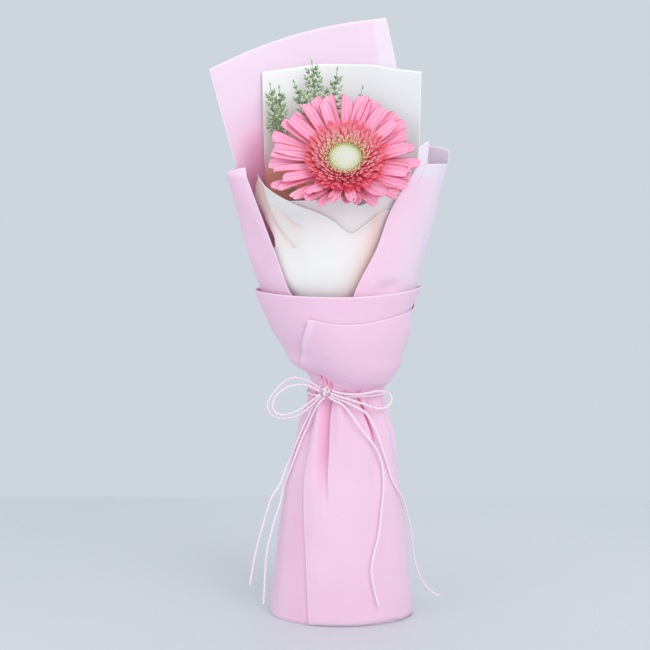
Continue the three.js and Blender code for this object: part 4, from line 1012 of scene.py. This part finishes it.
def petalGrid(angle, layer, draw):
    down, up = max(0, -math.sin(angle)), max(0, math.sin(angle))
    length = (bloom["radius"] - petals["root"]) * layer["reach"] * (1 + draw.uniform(-0.07, 0.05))
    length = length * (1 - 0.05 * math.cos(angle) + 0.09 * up ** 1.5)
    lifts = petals["lift"]
    lift = lifts["least"] + lifts["down"] * down ** 1.6 + lifts["up"] * up + draw.uniform(-4, 4)
    roll = math.radians(8 + draw.uniform(-5, 5))
    side = draw.uniform(-1, 1)
    along = np.linspace(0, 1, petals["rows"])
    nod = lifts["nod"] * rampUp(along, 0.82, 1) * draw.uniform(0.2, 1.8)
    heading = np.radians(lift * rampUp(along, 0.2, 0.62) - nod)
    out, height = walked(petals["root"], layer["height"], length, heading)
    half = flow(along, petals["widthAt"], petals["halfWidth"]) * draw.uniform(0.76, 1.08)
    across = np.linspace(-1, 1, petals["columns"])
    u, v = np.meshgrid(across, along)
    # a blunt tip, ragged or split by one or two notches
    teeth = np.interp(across, np.linspace(-1, 1, 9), draw.uniform(0, 1, 9))[None, :]
    split = draw.uniform(-0.35, 0.35)
    notch = (2.1 * bell(u - split, 0.12) * draw.uniform(0, 1) + 0.9 * teeth) * rampUp(v, 0.82, 1)
    tipRound = (length * 0.038 * np.abs(u) ** 3 + draw.uniform(-1.5, 1.5) * u) * rampUp(v, 0.7, 1)
    groove = -0.65 * bell(np.abs(u) - 0.36, 0.1) * rampUp(v, 0.05, 0.4)
    cup = u * u * rampUp(v, 0.15, 0.8) * (draw.uniform(-0.2, 1.3) + 2.2 * down ** 2 * draw.uniform(0.3, 1))
    wave = 0.4 * np.sin(7 * v + 2 * math.pi * draw.uniform(0, 1) + u) * np.abs(u) * rampUp(v, 0.3, 0.9)
    # some petals roll one side right over
    over = draw.uniform(0, 1) ** 3 * np.clip(u * np.sign(side) - 0.25, 0, 1) ** 2 * rampUp(v, 0.25, 0.7)
    twist = roll * rampUp(v, 0, 0.3) + math.radians(9) * side * v
    flatSide = half[:, None] * u * (1 - 0.35 * over)
    y = flatSide * np.cos(twist) + 1.3 * side * v * v
    zed = height + groove + cup + wave + 3.4 * over + flatSide * np.sin(twist)
    return swung(out - notch - tipRound, y, zed, angle), v, u


def rayPetals():
    heap = Heap("along", "across")
    for layer in petals["layers"]:
        draw = np.random.default_rng(layer["seed"])
        for i in range(layer["count"]):
            place = i + layer["turn"] + draw.uniform(-0.16, 0.16)
            grid, v, u = petalGrid(2 * math.pi * place / layer["count"], layer, draw)
            heap.blade(onFace(grid), petals["thick"], along=v, across=u)
    return heap.piece("gerberaRayPetals", petalLook)


standFor(rayPetals(), "gerbera_ray_petals")

# Rings of short curled florets, lying outwards at the rim and standing up towards the disc.
florets = {
    "rings": (
        # count, root radius, length, half width, lift at the root and tip in degrees, root height
        (56, 14.0, 18.2, 1.35, 4, 30, 0.1),
        (54, 13.8, 15.4, 1.25, 8, 36, 0.5),
        (52, 13.5, 12.6, 1.2, 13, 42, 0.8),
        (50, 13.3, 10.0, 1.1, 20, 50, 1.1),
        (46, 13.1, 7.4, 1.0, 30, 58, 1.3),
        (44, 12.9, 5.8, 0.9, 40, 68, 1.5),
        (42, 12.7, 4.5, 0.8, 52, 78, 1.7),
        (40, 12.4, 3.4, 0.7, 64, 86, 1.9),
    ),
    "thick": 0.3, "rows": 8, "columns": 5, "seed": 5,
    "groundSides": 72,
    "ground": (
        (11.6, 0.4), (12.2, 1.7), (14, 1.7), (19, 1.6), (24, 1.3), (27, 0.4), (26.8, -0.4), (11.6, -0.4),
    ),
}


def floretGrid(ring, order, i, draw):
    count, root, length, half, liftRoot, liftTip, height = ring
    angle = 2 * math.pi * (i + 0.37 * order + draw.uniform(-0.3, 0.3)) / count
    long = length * draw.uniform(0.84, 1.06)
    v = np.linspace(0, 1, florets["rows"])
    heading = np.radians(mix(liftRoot, liftTip, v ** 1.5) + draw.uniform(-8, 8))
    out, up = walked(root, height, long, heading)
    width = half * flow(v, (0, 0.35, 0.8, 1), (0.7, 1, 0.95, 0.55)) * draw.uniform(0.85, 1.15)
    across, along = np.meshgrid(np.linspace(-1, 1, florets["columns"]), v)
    split = 0.2 * min(long, 6) * bell(across, 0.35) * rampUp(along, 0.7, 1)
    curl = half * across * across * mix(0.3, 0.9, along)
    bend = draw.uniform(-1.5, 1.5) * along ** 2
    turn = draw.uniform(-0.5, 0.5) * along
    flatSide = width[:, None] * across
    y = flatSide * np.cos(turn) + bend
    zed = up + curl + flatSide * np.sin(turn)
    return swung(out - split, y, zed, angle), along


def transFlorets():
    heap = Heap("along", "tint", "inner")
    draw = np.random.default_rng(florets["seed"])
    for order, ring in enumerate(florets["rings"]):
        inner = order / (len(florets["rings"]) - 1)
        for i in range(ring[0]):
            grid, along = floretGrid(ring, order, i, draw)
            heap.blade(onFace(grid), florets["thick"], along=along, tint=draw.uniform(0, 1), inner=inner)
    # the coral collar that they stand on
    ground = florets["ground"] + florets["ground"][:1]
    turnedInto(heap, ground, florets["groundSides"], False, along=0.35, tint=0.4, inner=0)
    return heap.piece("gerberaTransFlorets", floretLook)


standFor(transFlorets(), "gerbera_trans_florets")

disc = {
    "buds": 330, "radius": 12, "edge": 2.4, "rise": 2.5, "sides": 7, "seed": 9,
    "domeRadius": 11.6, "sunk": 0.6, "lean": 0.35,
    "profile": ((0.0, 0.55), (0.35, 1.0), (0.7, 0.82), (0.93, 0.42), (1.0, 0.08)),
    "groundSides": 48,
    "ground": ((11.4, 0.4), (11.8, 1.6), (11.2, 2.2), (9, 3.2), (5, 4.0), (0.4, 4.3)),
}


# Closed buds set out as on the real disc, each turned on by the same angle.
def discBuds():
    heap = Heap("along", "tint")
    draw = np.random.default_rng(disc["seed"])
    goldenTurn = math.pi * (3 - math.sqrt(5))
    around = fullTurn(disc["sides"])
    circle = swung(1, 0, 0 * around, around)
    up, wide = np.array(disc["profile"]).T
    for i in range(disc["buds"]):
        share = math.sqrt((i + 0.5) / disc["buds"])
        radius = disc["radius"] * share
        dome = min(1.0, radius / disc["domeRadius"])
        ground = disc["edge"] + disc["rise"] * math.sqrt(1 - dome * dome) - disc["sunk"]
        outer = rampUp(share, 0.8, 1)
        size = mix(0.46, 0.62, outer) * draw.uniform(0.88, 1.1)
        tall = mix(1.0, 2.3, outer) * draw.uniform(0.85, 1.15)
        centres = swung(radius + disc["lean"] * share * tall * up, 0, ground + tall * up, i * goldenTurn)
        points = centres[:, None] + size * wide[:, None, None] * circle
        tint = share * draw.uniform(0.94, 1.04)
        faces = ringFaces(len(up), disc["sides"])
        heap.add(onFace(points), faces, along=np.repeat(up, disc["sides"]), tint=tint)
    # the ground that the buds grow from
    turnedInto(heap, disc["ground"], disc["groundSides"], along=0, tint=0.35)
    return heap.piece("gerberaDisc", budLook)


standFor(discBuds(), "gerbera_disc")
print("wrapped gerbera: flower")

stem = {
    "route": (
        (4.8, 0, 30), (4.8, 0, 100), (4.8, 0, 150), (4.8, 0, 185), (4.6, 1, 215), (4.2, 3.5, 260),
        (3.8, 5.8, 297), (3.6, 4.6, 314), (3.4, 0.6, 323.9), (3.4, -5.6, 328.9),
    ),
    "radius": 3.2, "sides": 40, "ribs": 9,
    "cup": (
        (0.4, -21), (3.2, -21), (5, -16.5), (9.5, -12), (12.5, -8), (13.5, -5.2), (12.9, -4.9), (0.4, -4.9),
    ),
    "cupSides": 48,
    # how many bracts, then root, reach, half width, and the heights at root and tip
    "bractRows": ((14, 9.5, 11, 2.3, -10.2, -5.6), (14, 6.8, 9, 2.1, -13.6, -8.2)),
    "bractThick": 0.5, "hairs": 900, "hairWidth": 0.06, "seed": 77,
}


def gerberaStem():
    heap = Heap("tint")
    draw = np.random.default_rng(stem["seed"])
    path = smoothRoute(stem["route"], 2.5)
    tangent, normal, side = framesAlong(path)
    rib = np.abs(np.cos(fullTurn(stem["sides"]) * stem["ribs"] / 2))
    heap.rod(path, stem["radius"] * (1 - 0.05 * (1 - rib)), stem["sides"], tint=np.tile(rib * 0.5, len(path)))
    turnedInto(heap, stem["cup"], stem["cupSides"], tint=0.3)
    for order, (count, root, reach, half, low, high) in enumerate(stem["bractRows"]):
        v = np.linspace(0, 1, 10)
        across, along = np.meshgrid(np.linspace(-1, 1, 5), v)
        width = half * flow(v, (0, 0.4, 0.8, 1), (0.9, 1, 0.6, 0.08))
        zed = mix(low, high, np.sqrt(along)) - 0.35 * across * across
        for i in range(count):
            angle = 2 * math.pi * (i + 0.5 * order) / count
            grid = swung(root + reach * along, width[:, None] * across, zed, angle)
            heap.blade(onFace(grid), stem["bractThick"], tint=along * 0.7)
    # short soft hairs all the way up the stem
    for i in range(stem["hairs"]):
        k = draw.integers(2, len(path) - 4)
        turn = draw.uniform(0, 2 * math.pi)
        away = math.cos(turn) * normal[k] + math.sin(turn) * side[k]
        aside = np.cross(tangent[k], away)
        foot = path[k] + away * stem["radius"] * 0.97 + tangent[k] * draw.uniform(-1.2, 1.2)
        tip = foot + away * draw.uniform(0.7, 1.3) + tangent[k] * draw.uniform(0.1, 0.6)
        corners = [foot + stem["hairWidth"] * way for way in (aside, -aside, tangent[k])]
        heap.add([*corners, tip], [[0, 1, 2], [0, 3, 1], [1, 3, 2], [2, 3, 0]], tint=0)
    return heap.piece("gerberaStem", stemLook)


standFor(gerberaStem(), "gerbera_stem")
print("wrapped gerbera: stem")

fern = {
    "leafThick": 0.35, "stemRadius": 1.1, "branchAngle": 33, "leafAngle": 30, "seed": 41,
    "leafLength": (4.2, 3.0), "leafHalf": 0.62, "leafStep": 3.0, "ribLeaf": 3.2, "ribStep": 4,
}
# a sprig's stem stands on each side of the flower's, with a small gap between
fernAside = stem["radius"] + 0.35 + fern["stemRadius"]
leftX = waist["centreX"] - fernAside
rightX = waist["centreX"] + fernAside
sprigs = {
    "fernSprigLeft": {
        "node": "fern_sprig_left",
        "stem": (
            (leftX, 0, 112), (leftX, 0, 150), (leftX, 0, 182), (-4, 2, 215),
            (-16, 8, 258), (-30, 14, 300), (-40, 18, 330), (-45, 20.5, 352),
        ),
        # each frond's root, tip, number of branchlets, spread, arch, and lean in degrees
        "fronds": (
            ((-43, 19.6, 343), (-50.5, 24, 389), 9, 10, 1.5, -20),
            ((-40, 18, 330), (-44, 21.5, 387), 10, 10, 1, 15),
            ((-24, 11.2, 282), (-36, -1, 322), 6, 8, 1, -25),
        ),
    },
    "fernSprigCentre": {
        "node": "fern_sprig_centre",
        "stem": (
            (rightX, 0, 112), (rightX, 0, 150), (rightX, 0, 182), (9.2, 4, 215),
            (5, 10, 258), (-4, 16, 300), (-12, 20.5, 335), (-17, 24.5, 365),
        ),
        "fronds": (
            ((-11, 20, 331), (-33, 24, 391), 9, 10, 1, -10),
            ((-15, 23, 352), (-20.3, 30, 405), 10, 17, 1, 5),
            ((-12, 20.5, 335), (-2.1, 28, 400), 10, 14, 1.5, 12),
            ((-6, 17.2, 308), (16.1, 25, 386.5), 7, 9, 1, 0),
        ),
    },
}


# A thin green rod along a path, thinner at its tip.
def rodInto(heap, path, thickRoot, thickTip, sides, tint):
    heap.rod(path, np.linspace(thickRoot, thickTip, len(path))[:, None], sides, tint=tint)


# A small pointed leaflet: a folded oval with thickness.
def leaflet(heap, foot, direction, facing, length, tint):
    half = fern["leafHalf"]
    direction = direction / np.linalg.norm(direction)
    side = np.cross(direction, facing)
    side /= np.linalg.norm(side) + 1e-9
    up = np.cross(side, direction)
    low, high = foot + direction * length * 0.3, foot + direction * length * 0.72
    tip = foot + direction * length + up * 0.12 * length
    lift = up * fern["leafThick"] / 2
    points = [
        foot + lift, foot - lift, low + side * half, low - side * half, low + lift, low - lift,
        high + side * half * 0.8, high - side * half * 0.8, high + lift, high - lift, tip,
    ]
    faces = [
        [0, 4, 2], [0, 3, 4], [2, 4, 8, 6], [4, 3, 7, 8], [6, 8, 10], [8, 7, 10],
        [1, 2, 5], [1, 5, 3], [5, 2, 6, 9], [3, 5, 9, 7], [9, 6, 10], [7, 9, 10], [0, 2, 1], [0, 1, 3],
    ]
    heap.add(points, faces, tint=tint)


def frondInto(heap, frond, draw):
    root, tip, branchlets, reach, arch, lean = frond
    grow = np.array(tip, float) - root
    length = np.linalg.norm(grow)
    grow /= length
    lean = math.radians(lean)
    across = np.cross(grow, (math.sin(lean), -math.cos(lean), 0))
    across /= np.linalg.norm(across)
    facing = np.cross(across, grow)
    v = np.linspace(0, 1, 24)[:, None]
    rib = root + v * grow * length + 4 * arch * v * (1 - v) * facing
    rodInto(heap, rib, 0.5, 0.22, 6, 0.7)

    def ribAt(share):
        return np.array([np.interp(share, v[:, 0], rib[:, k]) for k in range(3)])

    branchAngle = math.radians(fern["branchAngle"])
    leafAngle = math.radians(fern["leafAngle"])
    branches = max(4, round(branchlets * 0.6))
    for sideSign in (-1, 1):
        for i in range(branches):
            share = (i + (0.5 if sideSign > 0 else 0)) / branches
            foot = ribAt(mix(0.16, 0.9, share))
            long = reach * (1 - 0.72 * share) * draw.uniform(0.85, 1.12)
            aside = sideSign * math.sin(branchAngle) * across
            heading = math.cos(branchAngle) * grow + aside + draw.uniform(-0.15, 0.15) * facing
            # the branchlet bends back towards the way the frond grows
            at = np.linspace(0, 1, 7)[:, None]
            branch = foot + at * heading * long + at ** 2 * grow * long * 0.15
            rodInto(heap, branch, 0.34, 0.16, 5, 0.6)
            leaves = max(2, round(long / fern["leafStep"]))
            for k in range(leaves):
                at = (k + 0.5) / leaves
                place = foot + at * heading * long + at ** 2 * grow * long * 0.15
                for leafSide in (-1, 1):
                    turn = leafSide * leafAngle * draw.uniform(0.7, 1.3)
                    direction = math.cos(turn) * heading + math.sin(turn) * np.cross(facing, heading)
                    size = mix(*fern["leafLength"], at) * draw.uniform(0.8, 1.15)
                    direction = direction + draw.uniform(-0.1, 0.3) * facing
                    leaflet(heap, place, direction, facing, size, draw.uniform(0, 1) ** 1.7)
            leaflet(heap, branch[-1], heading, facing, fern["ribLeaf"], draw.uniform(0, 0.5))
    # leaflets on the rib itself and on its tip
    for k in range(int(length / fern["ribStep"])):
        place = ribAt(k * fern["ribStep"] / length)
        for leafSide in (-1, 1):
            direction = math.cos(leafAngle) * grow + leafSide * math.sin(leafAngle) * across
            leaflet(heap, place, direction + 0.2 * facing, facing, fern["ribLeaf"], draw.uniform(0.2, 1))
    leaflet(heap, rib[-1], grow, facing, 3.6, 0.3)


for order, (name, settings) in enumerate(sprigs.items()):
    heap = Heap("tint")
    draw = np.random.default_rng(fern["seed"] + order)
    rodInto(heap, smoothRoute(settings["stem"], 3), fern["stemRadius"], 0.55, 10, 0.3)
    for frond in settings["fronds"]:
        frondInto(heap, frond, draw)
    standFor(heap.piece(name, sprigLook), settings["node"])
print("wrapped gerbera: fern")

# The floor, in metres; its back edge is where the table ends.
floorSize = {"left": -1.6, "right": 1.6, "front": -1.7, "back": 0.341}
left, right, front, back = floorSize.values()
floorCorners = [(left, front, 0), (right, front, 0), (right, back, 0), (left, back, 0)]
look = Finish("paleFloor", 0.35, (214, 217, 221), Specular_IOR_Level=0.4)
look.paint((205, 209, 214), look.noise(1.6, 3), 0.3, 0.7)
look.roughen(look.noise(4), 0.3, 0.42)
floor = meshObject("paleFloor", floorCorners, [[0, 1, 2, 3]], look.done(), smooth=False)

lights = {
    "keyRight": {"at": (0.9, -1.3, 1.25), "size": 1.3, "power": 12.5, "colour": (1, 0.95, 0.92)},
    "fillLeft": {"at": (-1.3, -0.9, 0.7), "size": 1.5, "power": 4.8, "colour": (1, 0.95, 0.93)},
    "lowFront": {"at": (0.1, -1.5, 0.1), "size": 0.8, "power": 2.8, "colour": (1, 0.94, 0.95)},
    "topSoft": {"at": (0, 0.1, 1.7), "size": 1.4, "power": 5, "colour": (1, 0.97, 0.95)},
}
lightsAim = Vector((0, 0, 0.22))
for name, settings in lights.items():
    lamp = bpy.data.lights.new(name, "AREA")
    lamp.shape = "DISK"
    lamp.size = settings["size"]
    lamp.energy = settings["power"]
    lamp.color = settings["colour"]
    light = bpy.data.objects.new(name, lamp)
    light.location = settings["at"]
    towards = lightsAim - Vector(settings["at"])
    light.rotation_euler = towards.to_track_quat("-Z", "Y").to_euler()
    scene.collection.objects.link(light)

world = bpy.data.worlds.new("paleWall")
world.use_nodes = True
backdrop = world.node_tree.nodes["Background"]
backdrop.inputs["Color"].default_value = srgb(210, 219, 226)
backdrop.inputs["Strength"].default_value = 0.95
scene.world = world
print("wrapped gerbera: floor and light")
